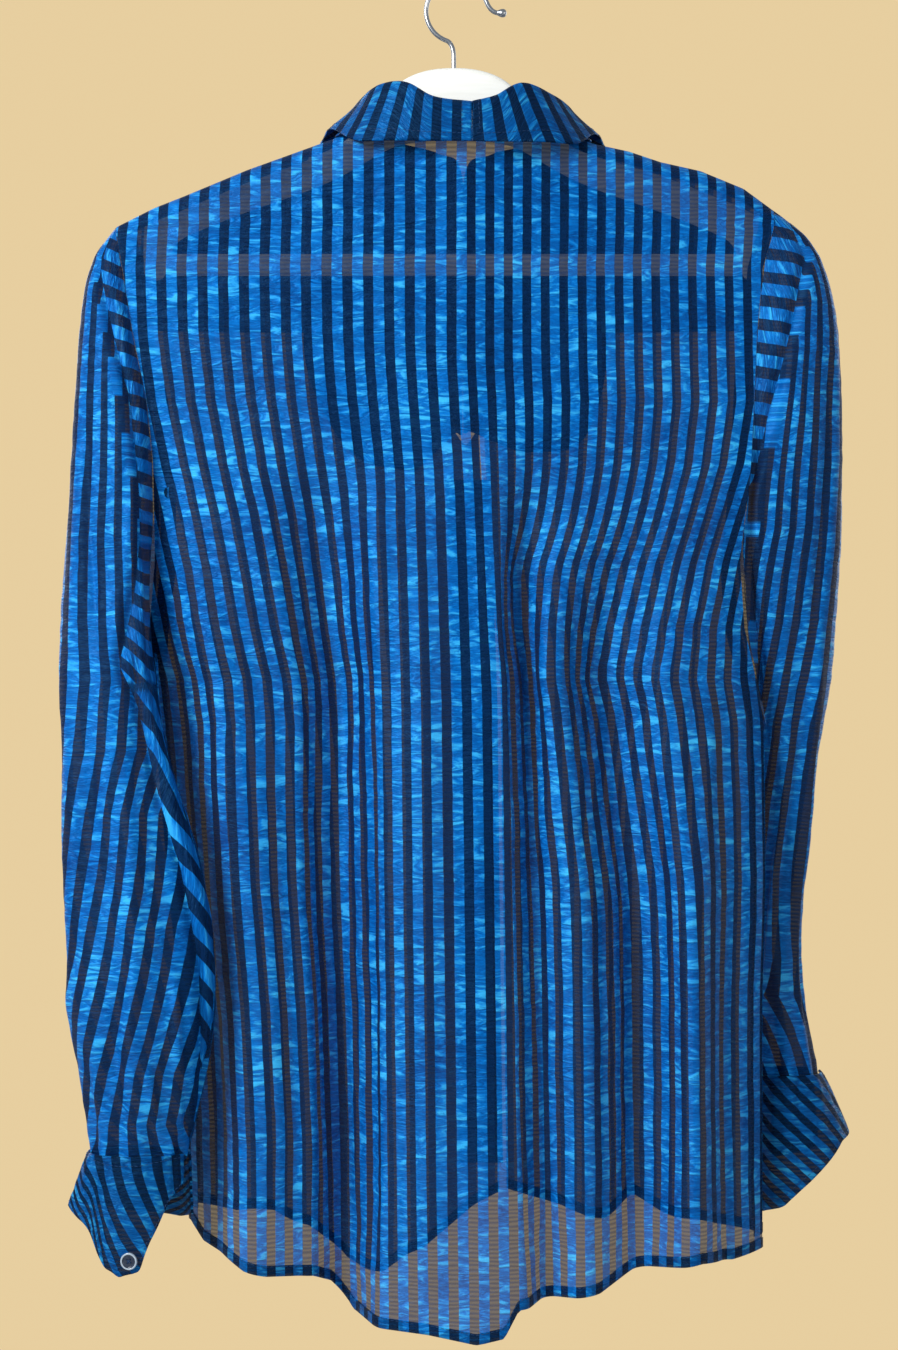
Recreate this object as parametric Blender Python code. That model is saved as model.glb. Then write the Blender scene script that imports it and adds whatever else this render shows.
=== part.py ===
# Striped organza shirt hanging by its shoulders on a white hanger with a wire hook.
# The hook's seat is the origin, +Z is up, and the back of the shirt faces -Y.
# Sizes are in millimetres, depths are measured down from the hook's seat, and meshes are in metres.
import math

import bmesh
import bpy
import numpy as np
from mathutils import Matrix, Vector

MM = 0.001
SEAM_GAP = 0.3
WALL = 1.1

# Shirt: the highest edge of the body, from the left shoulder tip over the neck to the right one
TOP_EDGE = (  # across, depth
    (-213.0, 153.0), (-189.0, 141.0), (-171.0, 134.0), (-131.0, 117.5), (-76.0, 98.0),
    (-40.0, 102.5), (4.0, 105.0), (48.0, 104.0), (84.0, 101.0),
    (107.5, 106.0), (127.0, 112.5), (152.0, 118.0), (179.0, 129.0), (197.5, 142.5),
)
NECK_LEFT = -76.0
NECK_RIGHT = 84.0
NECK_BACK = 30.0
NECK_CORNER = 8.0
SHOULDER_ROLL = 13.0

# Armhole and side seams, and the cloth between the centre thread and either seam
SIDE_SEAMS = (  # depth, left, right, half cloth
    (90.0, -213.0, 197.5, 206.0), (153.0, -213.0, 197.5, 206.0), (180.0, -208.0, 190.0, 200.0),
    (222.0, -201.0, 186.0, 195.0), (264.0, -192.0, 184.0, 192.0), (303.0, -188.0, 182.0, 197.0),
    (362.0, -187.0, 175.0, 212.0), (403.0, -191.0, 178.0, 226.0), (436.0, -191.0, 186.0, 236.0),
    (464.0, -189.0, 192.0, 238.0), (560.0, -181.0, 193.0, 238.0), (640.0, -173.0, 191.0, 238.0),
    (720.0, -168.0, 191.0, 238.0), (870.0, -166.0, 191.0, 238.0),
)
UNDERARM_LEFT = 436.0
UNDERARM_RIGHT = 464.0
CENTRE_THREAD = (  # depth, across
    (90.0, 3.0), (240.0, 3.0), (330.0, 8.0), (450.0, 12.0), (700.0, 15.0), (870.0, 17.0),
)
ARMHOLE_SPREAD = (  # share of the way down the armhole, half opening
    (0.0, 9.5), (0.1, 11.0), (0.3, 15.0), (0.55, 18.0), (0.75, 17.0), (0.88, 12.0), (0.95, 7.0), (1.0, 0.15),
)
BODY_DEPTH = (  # depth, back, front
    (90.0, 30.0, 24.0), (150.0, 26.0, 26.0), (250.0, 28.0, 34.0), (350.0, 40.0, 42.0),
    (500.0, 52.0, 50.0), (700.0, 58.0, 52.0), (870.0, 60.0, 50.0),
)
EDGE_TURN = (  # depth, degrees that the cloth turns towards the side seam
    (90.0, 2.0), (300.0, 10.0), (430.0, 38.0), (560.0, 52.0), (870.0, 58.0),
)
EDGE_TURN_REACH = 62.0
STEEPEST = math.radians(74.0)

# Drape folds of the back and fronts: positive degrees lead the cloth in towards the body
BACK_LEFT_FOLDS = (  # thread, half width, top, full depth, degrees, slant per 100 mm
    (76.0, 24.0, 285.0, 470.0, 64.0, 1.2),
    (116.0, 22.0, 285.0, 470.0, -58.0, 1.2),
    (158.0, 20.0, 330.0, 620.0, -30.0, 0.0),
    (194.0, 20.0, 300.0, 520.0, 34.0, 0.0),
)
BACK_RIGHT_FOLDS = (
    (33.0, 17.0, 270.0, 480.0, 56.0, 1.0),
    (62.0, 15.0, 300.0, 520.0, -38.0, 1.0),
    (103.0, 26.0, 300.0, 560.0, 38.0, 0.5),
    (148.0, 24.0, 340.0, 600.0, -40.0, 0.0),
    (188.0, 20.0, 380.0, 640.0, 36.0, 0.0),
)
FRONT_LEFT_FOLDS = (
    (58.0, 22.0, 300.0, 520.0, 46.0, 1.0),
    (98.0, 22.0, 300.0, 520.0, -48.0, 1.0),
    (142.0, 24.0, 240.0, 460.0, 40.0, -1.5),
    (186.0, 22.0, 240.0, 460.0, -34.0, -1.5),
)
FRONT_RIGHT_FOLDS = (
    (66.0, 24.0, 320.0, 560.0, 44.0, 0.8),
    (110.0, 22.0, 320.0, 560.0, -46.0, 0.8),
    (152.0, 22.0, 260.0, 480.0, 42.0, -1.0),
    (192.0, 20.0, 260.0, 480.0, -34.0, -1.0),
)

# Hems, as depths of the finished edge
BACK_HEM = (  # across, depth
    (-166.0, 772.0), (-157.0, 783.0), (-145.0, 788.0), (-130.0, 795.0), (-116.0, 798.0),
    (-88.0, 800.0), (-78.0, 806.0), (-64.0, 825.0), (-48.0, 828.0), (-18.0, 831.0),
    (11.0, 836.0), (28.0, 832.0), (37.0, 815.0), (59.0, 812.0), (87.0, 808.0),
    (109.0, 798.0), (130.0, 794.0), (149.0, 790.0), (170.0, 793.0), (191.0, 790.0),
)
FRONT_HEM = (
    (-166.0, 762.0), (-139.0, 772.0), (-115.0, 770.0), (-93.0, 779.0), (-70.0, 804.0),
    (-47.0, 809.0), (-22.0, 801.0), (11.0, 774.0), (32.0, 763.0), (72.0, 774.0),
    (93.0, 774.0), (113.0, 764.0), (139.0, 773.0), (165.0, 780.0), (191.0, 781.0),
)
HEM_WIDTH = 5.6
HEM_WALL = 2.0
HEM_GAP = 0.5

# Opening at the front neck and the band that closes the fronts below it
NECKLINE_FOOT = 292.0
PLACKET_HALF = 14.0
PLACKET_TOP = 308.0
PLACKET_FOOT = 748.0
PLACKET_LAP = 2.4
PLACKET_RISE = 1.8
YOKE_FOOT = 216.0
YOKE_SPAN = (0.26, 0.97)
YOKE_COLUMNS = 9
YOKE_ROWS = 5
PLACKET_ROWS = 15
LAYER = 1.6
FRONT_BUTTONS = 6
FIRST_BUTTON = 326.0
BUTTON_SPACING = 78.0
BUTTON_RADIUS = 5.2
BUTTON_THICK = 2.2
BUTTON_SEAT = 0.2

# Grids
BODY_ROWS_ABOVE = 10
BODY_ROWS_BELOW = 6
LEVELS = np.arange(84.0, 872.0, 12.0)
THREADS = np.linspace(0.0, 1.0, 81)

# Sleeves: the hanging tube's silhouette and its place in depth
LEFT_SLEEVE = (  # depth, outer edge, inner edge, middle front to back, half thickness
    (150.0, -218.0, -216.0, 0.0, 10.0), (172.0, -231.0, -226.0, -1.0, 14.0),
    (200.0, -238.0, -222.0, -3.0, 20.0), (240.0, -239.5, -210.0, -6.0, 25.0),
    (290.0, -240.5, -199.0, -10.0, 28.0), (350.0, -242.5, -195.0, -16.0, 29.0),
    (436.0, -244.0, -195.0, -28.0, 27.0), (479.0, -244.0, -188.0, -42.0, 25.0),
    (517.0, -242.0, -160.0, -52.0, 26.0), (584.0, -238.0, -144.0, -58.0, 28.0),
    (632.0, -235.0, -142.0, -58.0, 30.0), (671.0, -239.0, -147.0, -54.0, 29.0),
    (703.0, -236.0, -155.0, -50.0, 25.0), (725.0, -222.5, -164.0, -46.0, 18.0),
)
RIGHT_SLEEVE = (
    (140.0, 201.0, 200.0, 0.0, 10.0), (159.0, 223.0, 217.0, 1.0, 13.0),
    (172.0, 233.0, 219.0, 2.0, 17.0), (200.0, 244.0, 211.0, 3.0, 22.0),
    (231.0, 249.0, 204.0, 5.0, 26.0), (279.0, 247.0, 193.0, 8.0, 28.0),
    (342.0, 243.0, 184.0, 14.0, 28.0), (400.0, 241.0, 187.0, 22.0, 27.0),
    (464.0, 238.0, 194.0, 35.0, 24.0), (513.0, 227.0, 187.0, 45.0, 23.0),
    (571.0, 221.0, 184.0, 50.0, 22.0), (615.0, 218.0, 185.0, 48.0, 17.0),
    (638.0, 214.5, 191.0, 46.0, 12.0), (666.0, 226.0, 189.0, 44.0, 18.0),
    (690.0, 232.0, 189.0, 42.0, 19.0),
)
SLEEVE_RINGS_CAP = 5
SLEEVE_RINGS_TUBE = 11
CAP_DROP = 52.0
SLEEVE_SETTLING = 8
SLEEVE_FOLDS = (  # degrees round from the outer edge, half width, top, full depth, dip
    (62.0, 20.0, 230.0, 420.0, 7.0), (128.0, 22.0, 330.0, 520.0, 8.0),
    (-58.0, 20.0, 230.0, 440.0, 7.0), (-120.0, 24.0, 340.0, 540.0, 8.0),
)
GATHERS = 4
GATHER_REACH = 70.0
GATHER_DIP = 1.8

# Cuffs: an unbuttoned band from the sleeve's end, read round from one free end to the other
CUFF_GAP = 0.8
CUFF_STEPS = 24
CUFF_ROWS = 4
LEFT_CUFF = (  # share along the band, degrees round, length, flare; -90 degrees faces the back
    (0.0, -25.0, 14.0, 0.0), (0.07, -50.0, 24.0, 0.0), (0.12, -72.0, 46.0, 0.5), (0.17, -86.0, 66.0, 1.0),
    (0.25, -108.0, 69.0, 1.5), (0.3, -128.0, 62.0, 3.0),
    (0.34, -142.0, 40.0, 6.0), (0.42, -168.0, 29.0, 12.0),
    (0.52, -195.0, 29.0, 10.0), (0.7, -255.0, 38.0, 5.0),
    (0.88, -315.0, 40.0, 3.0), (1.0, -350.0, 36.0, 2.0),
)
LEFT_CUFF_BUTTON = 0.22
RIGHT_CUFF = (
    (0.0, 12.0, 37.0, 20.0), (0.08, -16.0, 40.0, 14.0), (0.2, -58.0, 62.0, 6.0), (0.32, -98.0, 80.0, 1.0),
    (0.42, -135.0, 84.0, 0.0), (0.55, -180.0, 70.0, 2.0),
    (0.72, -235.0, 60.0, 4.0), (0.88, -290.0, 54.0, 5.0),
    (1.0, -325.0, 48.0, 6.0),
)
RIGHT_CUFF_BUTTON = 0.8

# Collar: from the centre back round one side to the front, on the neckline of the back and the front
COLLAR_LEFT = (  # face, seam x, roll x y depth, edge x y depth
    (-1, 8.6, 8.6, -31.0, 84.0, 8.6, -40.0, 107.0),
    (-1, -14.0, -14.0, -30.0, 80.5, -16.0, -40.0, 107.0),
    (-1, -42.0, -31.0, -26.0, 71.5, -42.0, -36.0, 106.0),
    (-1, -64.0, -45.0, -18.0, 72.0, -63.0, -28.0, 104.0),
    (-1, -75.0, -58.0, -3.0, 80.0, -78.0, -5.0, 92.5),
    (1, -75.5, -58.0, 8.0, 85.0, -84.0, 12.0, 95.0),
    (1, -72.0, -50.0, 21.0, 96.0, -89.0, 25.0, 106.0),
    (1, -62.0, -24.0, 34.0, 112.0, -92.0, 34.0, 160.0),
    (1, -44.0, -0.5, 39.0, 136.0, -97.0, 38.0, 232.0),
    (1, -26.0, 2.4, 43.0, 205.0, -68.0, 45.0, 290.0),
    (1, -10.0, 2.4, 47.0, 262.0, -27.0, 50.0, 302.0),
)
COLLAR_RIGHT = (
    (-1, 9.4, 9.4, -31.0, 84.0, 9.4, -40.0, 107.0),
    (-1, 30.0, 24.0, -30.0, 80.0, 30.0, -40.0, 107.5),
    (-1, 54.0, 39.0, -26.0, 71.5, 55.0, -36.0, 107.0),
    (-1, 74.0, 54.0, -17.0, 77.0, 74.0, -27.0, 106.0),
    (-1, 83.0, 66.0, -3.0, 83.0, 86.0, -5.0, 95.5),
    (1, 83.5, 66.0, 8.0, 88.0, 92.0, 12.0, 98.0),
    (1, 80.0, 58.0, 21.0, 99.0, 96.0, 25.0, 109.0),
    (1, 70.0, 32.0, 34.0, 114.0, 96.0, 34.0, 162.0),
    (1, 53.0, 8.5, 39.0, 138.0, 96.0, 38.0, 234.0),
    (1, 37.0, 5.6, 43.0, 206.0, 80.0, 45.0, 283.0),
    (1, 22.0, 5.6, 47.0, 262.0, 42.0, 50.0, 290.0),
)
COLLAR_SEAM_GAP = 1.5
COLLAR_STATIONS = 20
STAND_STEPS = 4
FALL_STEPS = 5
ROLL_RADIUS = 2.6

# Hanger
HANGER_MIDDLE = -2.0
HANGER_PROFILE = (  # from the middle, top depth, bottom depth, half thickness
    (0.0, 52.0, 100.0, 6.5), (14.0, 52.8, 100.0, 6.5), (28.0, 57.0, 101.0, 6.5), (40.0, 66.0, 104.0, 6.3),
    (54.0, 87.0, 112.0, 6.2), (74.0, 104.5, 124.0, 5.4),
    (100.0, 111.6, 134.0, 5.4), (131.0, 120.2, 144.0, 5.4),
    (160.0, 132.2, 156.0, 5.4), (178.0, 139.2, 163.0, 5.4),
    (179.0, 139.4, 187.0, 5.6), (188.0, 143.8, 188.0, 5.4),
    (194.0, 149.0, 184.0, 4.4),
)
HANGER_SIDES = 10
BAR_DEPTH = 176.5
BAR_RADIUS = 6.8
BAR_REACH = 177.9
BAR_SIDES = 14
WIRE_RADIUS = 1.45
WIRE_SIDES = 6
HOOK_RADIUS = 19.4
HOOK_STEM = ((-2.0, -51.2), (-2.0, -46.0), (-2.1, -41.5))
HOOK_ARC = (256.0, 16.0, 24)  # degrees at its start, degrees at its end, steps
HOOK_END = ((20.2, -15.6), (22.6, -18.2), (25.6, -18.8))
HOOK_TIP_RADIUS = 2.6
HOOK_TIP_RINGS = 5

COLOURS = {  # red, green, blue, roughness, metallic
    "azure_organza": (0.02, 0.16, 0.58, 0.42, 0.0),
    "hem_navy": (0.01, 0.05, 0.25, 0.5, 0.0),
    "white_paint": (0.86, 0.84, 0.78, 0.4, 0.0),
    "bright_wire": (0.6, 0.6, 0.6, 0.25, 1.0),
    "dark_button": (0.02, 0.02, 0.03, 0.3, 0.0),
}


# Readers of the short tables
def column(rows, index, at):
    return float(np.interp(at, [row[0] for row in rows], [row[index] for row in rows]))


def smooth(value):
    value = min(max(value, 0.0), 1.0)
    return value * value * (3.0 - 2.0 * value)


def underarm(side):
    return UNDERARM_LEFT if side < 0 else UNDERARM_RIGHT


def seam_across(side, depth):
    return column(SIDE_SEAMS, 1 if side < 0 else 2, depth)


def shoulder_tip(side):
    return TOP_EDGE[0][1] if side < 0 else TOP_EDGE[-1][1]


def spread(side, depth):
    """Half opening of the armhole at a depth, and half the side seam's gap below it."""
    tip = shoulder_tip(side)
    return column(ARMHOLE_SPREAD, 1, (depth - tip) / (underarm(side) - tip))


# Level lines of the body: the cloth's width is kept, so its folds come from its heading
def heading(folds, thread, depth, half_cloth):
    """Heading of the cloth in degrees along one half, from the centre thread to the seam."""
    wave = np.zeros_like(thread)
    for middle, half, top, full, degrees, slant in folds:
        centre = middle + slant * (depth - top) / 100.0
        away = np.clip((1.0 - np.abs(thread - centre) / half) * 1.9, 0.0, 1.0)
        wave += degrees * smooth((depth - top) / (full - top)) * away * away * (3.0 - 2.0 * away)
    turn = np.clip((thread - half_cloth + EDGE_TURN_REACH) / EDGE_TURN_REACH, 0.0, 1.0)
    return np.radians(wave), np.radians(column(EDGE_TURN, 1, depth)) * turn


def half_level(folds, depth, half_cloth, width):
    """Steps outwards and inwards along one half at one depth, opened until it spans the width."""
    thread = THREADS * half_cloth
    steps = np.diff(thread)
    wave, turn = heading(folds, thread, depth, half_cloth)
    low, high = 0.0, 3.0
    for _ in range(30):
        scale = 0.5 * (low + high)
        angle = np.clip(wave * scale + turn, -STEEPEST, STEEPEST)
        middle = 0.5 * (angle[1:] + angle[:-1])
        if np.sum(np.cos(middle) * steps) > width:
            low = scale
        else:
            high = scale
    out = np.concatenate([[0.0], np.cumsum(np.cos(middle) * steps)])
    inward = np.concatenate([[0.0], np.cumsum(np.sin(middle) * steps)])
    return out * width / out[-1], inward


def panel_levels(face, left_folds, right_folds):
    """Tables of across and front-to-back for the back (face -1) or the fronts (face 1)."""
    across, away = [], []
    for depth in LEVELS:
        centre = column(CENTRE_THREAD, 1, depth)
        half = column(SIDE_SEAMS, 3, depth)
        middle_depth = column(BODY_DEPTH, 1 if face < 0 else 2, depth)
        sides = []
        for side, folds in ((-1, left_folds), (1, right_folds)):
            out, inward = half_level(folds, depth, half, abs(seam_across(side, depth) - centre))
            edge = spread(side, depth)
            plain = edge + inward[-1] - inward
            ramp = (1.0 - THREADS) ** 1.5
            sides.append((centre + side * out, plain + (middle_depth - plain[0]) * ramp))
        across.append(np.concatenate([sides[0][0][::-1], sides[1][0][1:]]))
        away.append(np.concatenate([sides[0][1][::-1], sides[1][1][1:]]) * face)
    return np.array(across), np.array(away)


THREAD_LINE = np.concatenate([-THREADS[::-1], THREADS[1:]])
BACK = panel_levels(-1, BACK_LEFT_FOLDS, BACK_RIGHT_FOLDS)
FRONT = panel_levels(1, FRONT_LEFT_FOLDS, FRONT_RIGHT_FOLDS)


def level_at(panel, thread, depth):
    """Across and front-to-back of one thread at one depth, between the worked-out levels."""
    place = (depth - LEVELS[0]) / (LEVELS[1] - LEVELS[0])
    row = int(min(max(math.floor(place), 0), len(LEVELS) - 2))
    share = place - row
    found = []
    for values in panel:
        upper = np.interp(thread, THREAD_LINE, values[row])
        lower = np.interp(thread, THREAD_LINE, values[row + 1])
        found.append(float(upper + (lower - upper) * share))
    return found


def thread_at(panel, across, depth):
    """The thread that passes a place across the body at one depth."""
    place = (depth - LEVELS[0]) / (LEVELS[1] - LEVELS[0])
    row = int(min(max(math.floor(place), 0), len(LEVELS) - 2))
    share = place - row
    line = panel[0][row] + (panel[0][row + 1] - panel[0][row]) * share
    return float(np.interp(across, line, THREAD_LINE))


def top_depth(across):
    return float(np.interp(across, [row[0] for row in TOP_EDGE], [row[1] for row in TOP_EDGE]))


def neck_reach(across):
    """How far behind the shoulder line the back's neckline lies."""
    middle = 0.5 * (NECK_LEFT + NECK_RIGHT)
    share = (across - middle) / (0.5 * (NECK_RIGHT - NECK_LEFT))
    return NECK_BACK * math.sqrt(max(1.0 - share * share, 0.0))


def roll(distance):
    """Rounds the cloth over the shoulder: none of its reach at the seam, all of it below the roll."""
    left = 1.0 - min(max(distance / SHOULDER_ROLL, 0.0), 1.0)
    return math.sqrt(1.0 - left * left)


def back_point(thread, depth):
    """A place on the back's middle surface."""
    across, away = level_at(BACK, thread, depth)
    start = -0.5 * SEAM_GAP - neck_reach(across)
    away = start + (away - start) * roll(depth - top_depth(across))
    return np.array((across, min(away, -0.5 * SEAM_GAP), -depth))


def front_point(thread, depth):
    """A place on the fronts' middle surface."""
    across, away = level_at(FRONT, thread, depth)
    start = 0.5 * SEAM_GAP
    away = start + (away - start) * roll(depth - top_depth(across))
    return np.array((across, max(away, 0.5 * SEAM_GAP), -depth))


def front_place(across, depth):
    return front_point(thread_at(FRONT, across, depth), depth)


# Meshes: walls are two skins of a grid of places, closed at their rims
def skin_normals(grid, around):
    if around:
        along = np.roll(grid, -1, axis=1) - np.roll(grid, 1, axis=1)
    else:
        along = np.gradient(grid, axis=1)
    down = np.gradient(grid, axis=0)
    normal = np.cross(along, down)
    return normal / np.maximum(np.linalg.norm(normal, axis=2, keepdims=True), 1e-9)


def flatten_normals(normals, places, axis, least=0.35):
    """Keeps a rim in its seam's plane: the skins part across the axis there, and not along it."""
    for row, col in places:
        vector = normals[row, col].copy()
        vector[axis] = 0.0
        size = max(np.linalg.norm(vector), least)
        normals[row, col] = vector / size


def wall(name, material, grid, thickness, around=False, normals=None, keep=None):
    """One closed wall round a grid of places in millimetres."""
    normals = skin_normals(grid, around) if normals is None else normals
    skins = [grid + normals * thickness * 0.5, grid - normals * thickness * 0.5]
    if keep is not None:
        skins = [keep(skin) for skin in skins]
    rows, cols = grid.shape[:2]
    mesh = bmesh.new()
    verts = [[[mesh.verts.new(skin[r, c] * MM) for c in range(cols)] for r in range(rows)] for skin in skins]
    spans = cols if around else cols - 1

    def quad(a, b, c, d):
        mesh.faces.new((a, b, c))
        mesh.faces.new((a, c, d))

    outer, inner = verts
    for r in range(rows - 1):
        for c in range(spans):
            n = (c + 1) % cols
            quad(outer[r][c], outer[r + 1][c], outer[r + 1][n], outer[r][n])
            mesh.faces.new((inner[r][c], inner[r + 1][n], inner[r + 1][c]))
            mesh.faces.new((inner[r][c], inner[r][n], inner[r + 1][n]))
    for c in range(spans):
        n = (c + 1) % cols
        quad(outer[0][c], outer[0][n], inner[0][n], inner[0][c])
        quad(outer[-1][n], outer[-1][c], inner[-1][c], inner[-1][n])
    if not around:
        for r in range(rows - 1):
            quad(outer[r + 1][0], outer[r][0], inner[r][0], inner[r + 1][0])
            quad(outer[r][-1], outer[r + 1][-1], inner[r + 1][-1], inner[r][-1])
    return finish(name, material, mesh)


def finish(name, material, mesh):
    """Turns a closed mesh outwards and makes it an object with its own material."""
    if mesh.calc_volume(signed=True) < 0.0:
        bmesh.ops.reverse_faces(mesh, faces=mesh.faces)
    data = bpy.data.meshes.new(name)
    mesh.to_mesh(data)
    mesh.free()
    data.shade_smooth()
    data.set_sharp_from_angle(angle=math.radians(40.0))
    piece = bpy.data.objects.new(name, data)
    bpy.context.collection.objects.link(piece)
    red, green, blue, roughness, metallic = COLOURS[material]
    finish_of_piece = bpy.data.materials.new(f"{name}_{material}")
    finish_of_piece.use_nodes = True
    shader = finish_of_piece.node_tree.nodes["Principled BSDF"]
    shader.inputs["Base Color"].default_value = (red, green, blue, 1.0)
    shader.inputs["Roughness"].default_value = roughness
    shader.inputs["Metallic"].default_value = metallic
    data.materials.append(finish_of_piece)
    return piece


def loft(name, material, rings):
    """A closed solid through rings of places in millimetres, with flat ends."""
    mesh = bmesh.new()
    loops = [[mesh.verts.new(Vector(place) * MM) for place in ring] for ring in rings]
    count = len(loops[0])
    for first, second in zip(loops, loops[1:]):
        for index in range(count):
            after = (index + 1) % count
            mesh.faces.new((first[index], first[after], second[after]))
            mesh.faces.new((first[index], second[after], second[index]))
    mesh.faces.new(loops[0][::-1])
    mesh.faces.new(loops[-1])
    return finish(name, material, mesh)


# Body
def row_depths(top, turn, foot):
    """Depths of a column of the body: from its top edge to the underarm line, then to the hem."""
    above = [top + (turn - top) * (index / BODY_ROWS_ABOVE) ** 1.9 for index in range(BODY_ROWS_ABOVE)]
    below = [turn + (foot - turn) * index / BODY_ROWS_BELOW for index in range(BODY_ROWS_BELOW + 1)]
    return above + below


def underarm_line(across):
    seams = (seam_across(-1, UNDERARM_LEFT), seam_across(1, UNDERARM_RIGHT))
    return float(np.interp(across, seams, (UNDERARM_LEFT, UNDERARM_RIGHT)))


def hem_depth(rows, across):
    return float(np.interp(across, [row[0] for row in rows], [row[1] for row in rows]))


def top_of_thread(panel, thread):
    """Depth where a thread meets the top edge."""
    depth = 120.0
    for _ in range(12):
        depth = top_depth(level_at(panel, thread, depth)[0])
    return depth


def hem_of_thread(panel, rows, thread):
    across = level_at(panel, thread, 800.0)[0]
    return hem_depth(rows, across)


BACK_THREADS = np.concatenate([
    np.linspace(-1.0, -0.72, 7)[:-1], np.linspace(-0.72, -0.2, 17)[:-1],
    np.linspace(-0.2, 0.05, 5)[:-1], np.linspace(0.05, 0.36, 9)[:-1], np.linspace(0.36, 1.0, 16),
])


def body_grid(place, panel, threads, hem, foot_gap):
    """Places of a panel: a column for each thread, a row for each depth."""
    columns = []
    for thread in threads:
        top = top_of_thread(panel, thread)
        foot = hem_of_thread(panel, hem, thread) - foot_gap
        turn = underarm_line(level_at(panel, thread, 450.0)[0])
        columns.append([place(thread, depth) for depth in row_depths(top, turn, foot)])
    return np.array(columns).swapaxes(0, 1)


def body_normals(grid, left_seam, right_seam):
    """Skin directions of a panel, kept in the planes of its shoulder, armhole and side seams."""
    normals = skin_normals(grid, False)
    rows, cols = grid.shape[:2]
    inner, outer = NECK_LEFT + NECK_CORNER, NECK_RIGHT - NECK_CORNER
    shoulder = [(0, c) for c in range(cols) if not inner < grid[0, c, 0] < outer]
    flatten_normals(normals, shoulder, 1)
    edges = ([0] if left_seam else []) + ([cols - 1] if right_seam else [])
    for edge in edges:
        flatten_normals(normals, [(r, edge) for r in range(1, BODY_ROWS_ABOVE)], 0)
        flatten_normals(normals, [(r, edge) for r in range(BODY_ROWS_ABOVE, rows)], 1)
    return normals


def keep_behind(skin):
    skin[..., 1] = np.minimum(skin[..., 1], -0.5 * SEAM_GAP)
    return skin


def keep_before(skin):
    skin[..., 1] = np.maximum(skin[..., 1], 0.5 * SEAM_GAP)
    return skin


def build_back():
    grid = body_grid(back_point, BACK, BACK_THREADS, BACK_HEM, HEM_WIDTH + HEM_GAP)
    wall("back_panel", "azure_organza", grid, WALL, normals=body_normals(grid, True, True), keep=keep_behind)
    build_hem("hem_back", back_point, BACK, BACK_THREADS, BACK_HEM, keep_behind)


def build_hem(name, place, panel, threads, hem, keep):
    """The narrow turned hem, a doubled band just below the panel's edge."""
    rows = []
    for up in (HEM_WIDTH, 0.0):
        rows.append([place(thread, hem_of_thread(panel, hem, thread) - up) for thread in threads])
    grid = np.array(rows)
    normals = skin_normals(grid, False)
    for edge in (0, len(threads) - 1):
        if abs(threads[edge]) > 0.99:
            flatten_normals(normals, [(r, edge) for r in range(len(rows))], 1)
    wall(name, "hem_navy", grid, HEM_WALL, normals=normals, keep=keep)


# Fronts
def neckline_depth(across):
    """Depth of the fronts' neckline, a V with its foot behind the top of the placket."""
    middle = column(CENTRE_THREAD, 1, NECKLINE_FOOT)
    if across < middle:
        share = (middle - across) / (middle - NECK_LEFT)
    else:
        share = (across - middle) / (NECK_RIGHT - middle)
    share = min(max(share, 0.0), 1.0)
    side_depth = TOP_EDGE[4][1] if across < middle else TOP_EDGE[8][1]
    return side_depth + (NECKLINE_FOOT - side_depth) * (1.0 - share ** 1.25)


def front_top(thread):
    """Depth where a thread of the front begins, on the shoulder or on the neckline."""
    depth = 120.0
    for _ in range(40):
        across = level_at(FRONT, thread, depth)[0]
        target = top_depth(across) if not NECK_LEFT < across < NECK_RIGHT else neckline_depth(across)
        depth += 0.5 * (target - depth)
    return depth


def front_grid(threads):
    columns = []
    for thread in threads:
        top = front_top(thread)
        foot = hem_of_thread(FRONT, FRONT_HEM, thread) - HEM_WIDTH - HEM_GAP
        turn = underarm_line(level_at(FRONT, thread, 450.0)[0])
        columns.append([front_point(thread, depth) for depth in row_depths(top, turn, foot)])
    return np.array(columns).swapaxes(0, 1)


def placket_thread(side, depth, inset=0.0):
    middle = column(CENTRE_THREAD, 1, depth)
    return thread_at(FRONT, middle + side * (PLACKET_HALF + inset), depth)


def front_threads(side):
    """Threads of one front, from its side seam to its edge at the placket."""
    edge = placket_thread(1, 500.0, PLACKET_LAP if side > 0 else -PLACKET_LAP)
    if side < 0:
        return np.concatenate([np.linspace(-1.0, -0.7, 6)[:-1], np.linspace(-0.7, edge, 19)])
    return np.concatenate([np.linspace(edge, 0.7, 15)[:-1], np.linspace(0.7, 1.0, 6)])


def build_fronts():
    for side, name in ((-1, "left"), (1, "right")):
        threads = front_threads(side)
        grid = front_grid(threads)
        normals = body_normals(grid, side < 0, side > 0)
        wall(f"front_{name}", "azure_organza", grid, WALL, normals=normals, keep=keep_before)
        build_hem(f"hem_front_{name}", front_point, FRONT, threads, FRONT_HEM, keep_before)
        build_yoke(side, name)


def build_yoke(side, name):
    """The doubled upper front, a layer just inside the front from below the shoulder."""
    columns = []
    for thread in sorted(side * np.linspace(*YOKE_SPAN, YOKE_COLUMNS)):
        top = front_top(thread) + SHOULDER_ROLL + 3.0
        columns.append([front_point(thread, depth) for depth in np.linspace(top, YOKE_FOOT, YOKE_ROWS)])
    grid = np.array(columns).swapaxes(0, 1)
    normals = skin_normals(grid, False)
    inward = np.where(normals[..., 1:2] > 0.0, -1.0, 1.0)
    moved = grid + normals * inward * LAYER
    wall(f"front_yoke_{name}", "azure_organza", moved, WALL * 0.9, keep=keep_before)


def placket_grid():
    rows = []
    for depth in np.linspace(PLACKET_TOP, PLACKET_FOOT, PLACKET_ROWS):
        middle = column(CENTRE_THREAD, 1, depth)
        places = np.linspace(middle - PLACKET_HALF, middle + PLACKET_HALF, 4)
        rows.append([front_place(across, depth) for across in places])
    return np.array(rows)


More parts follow.
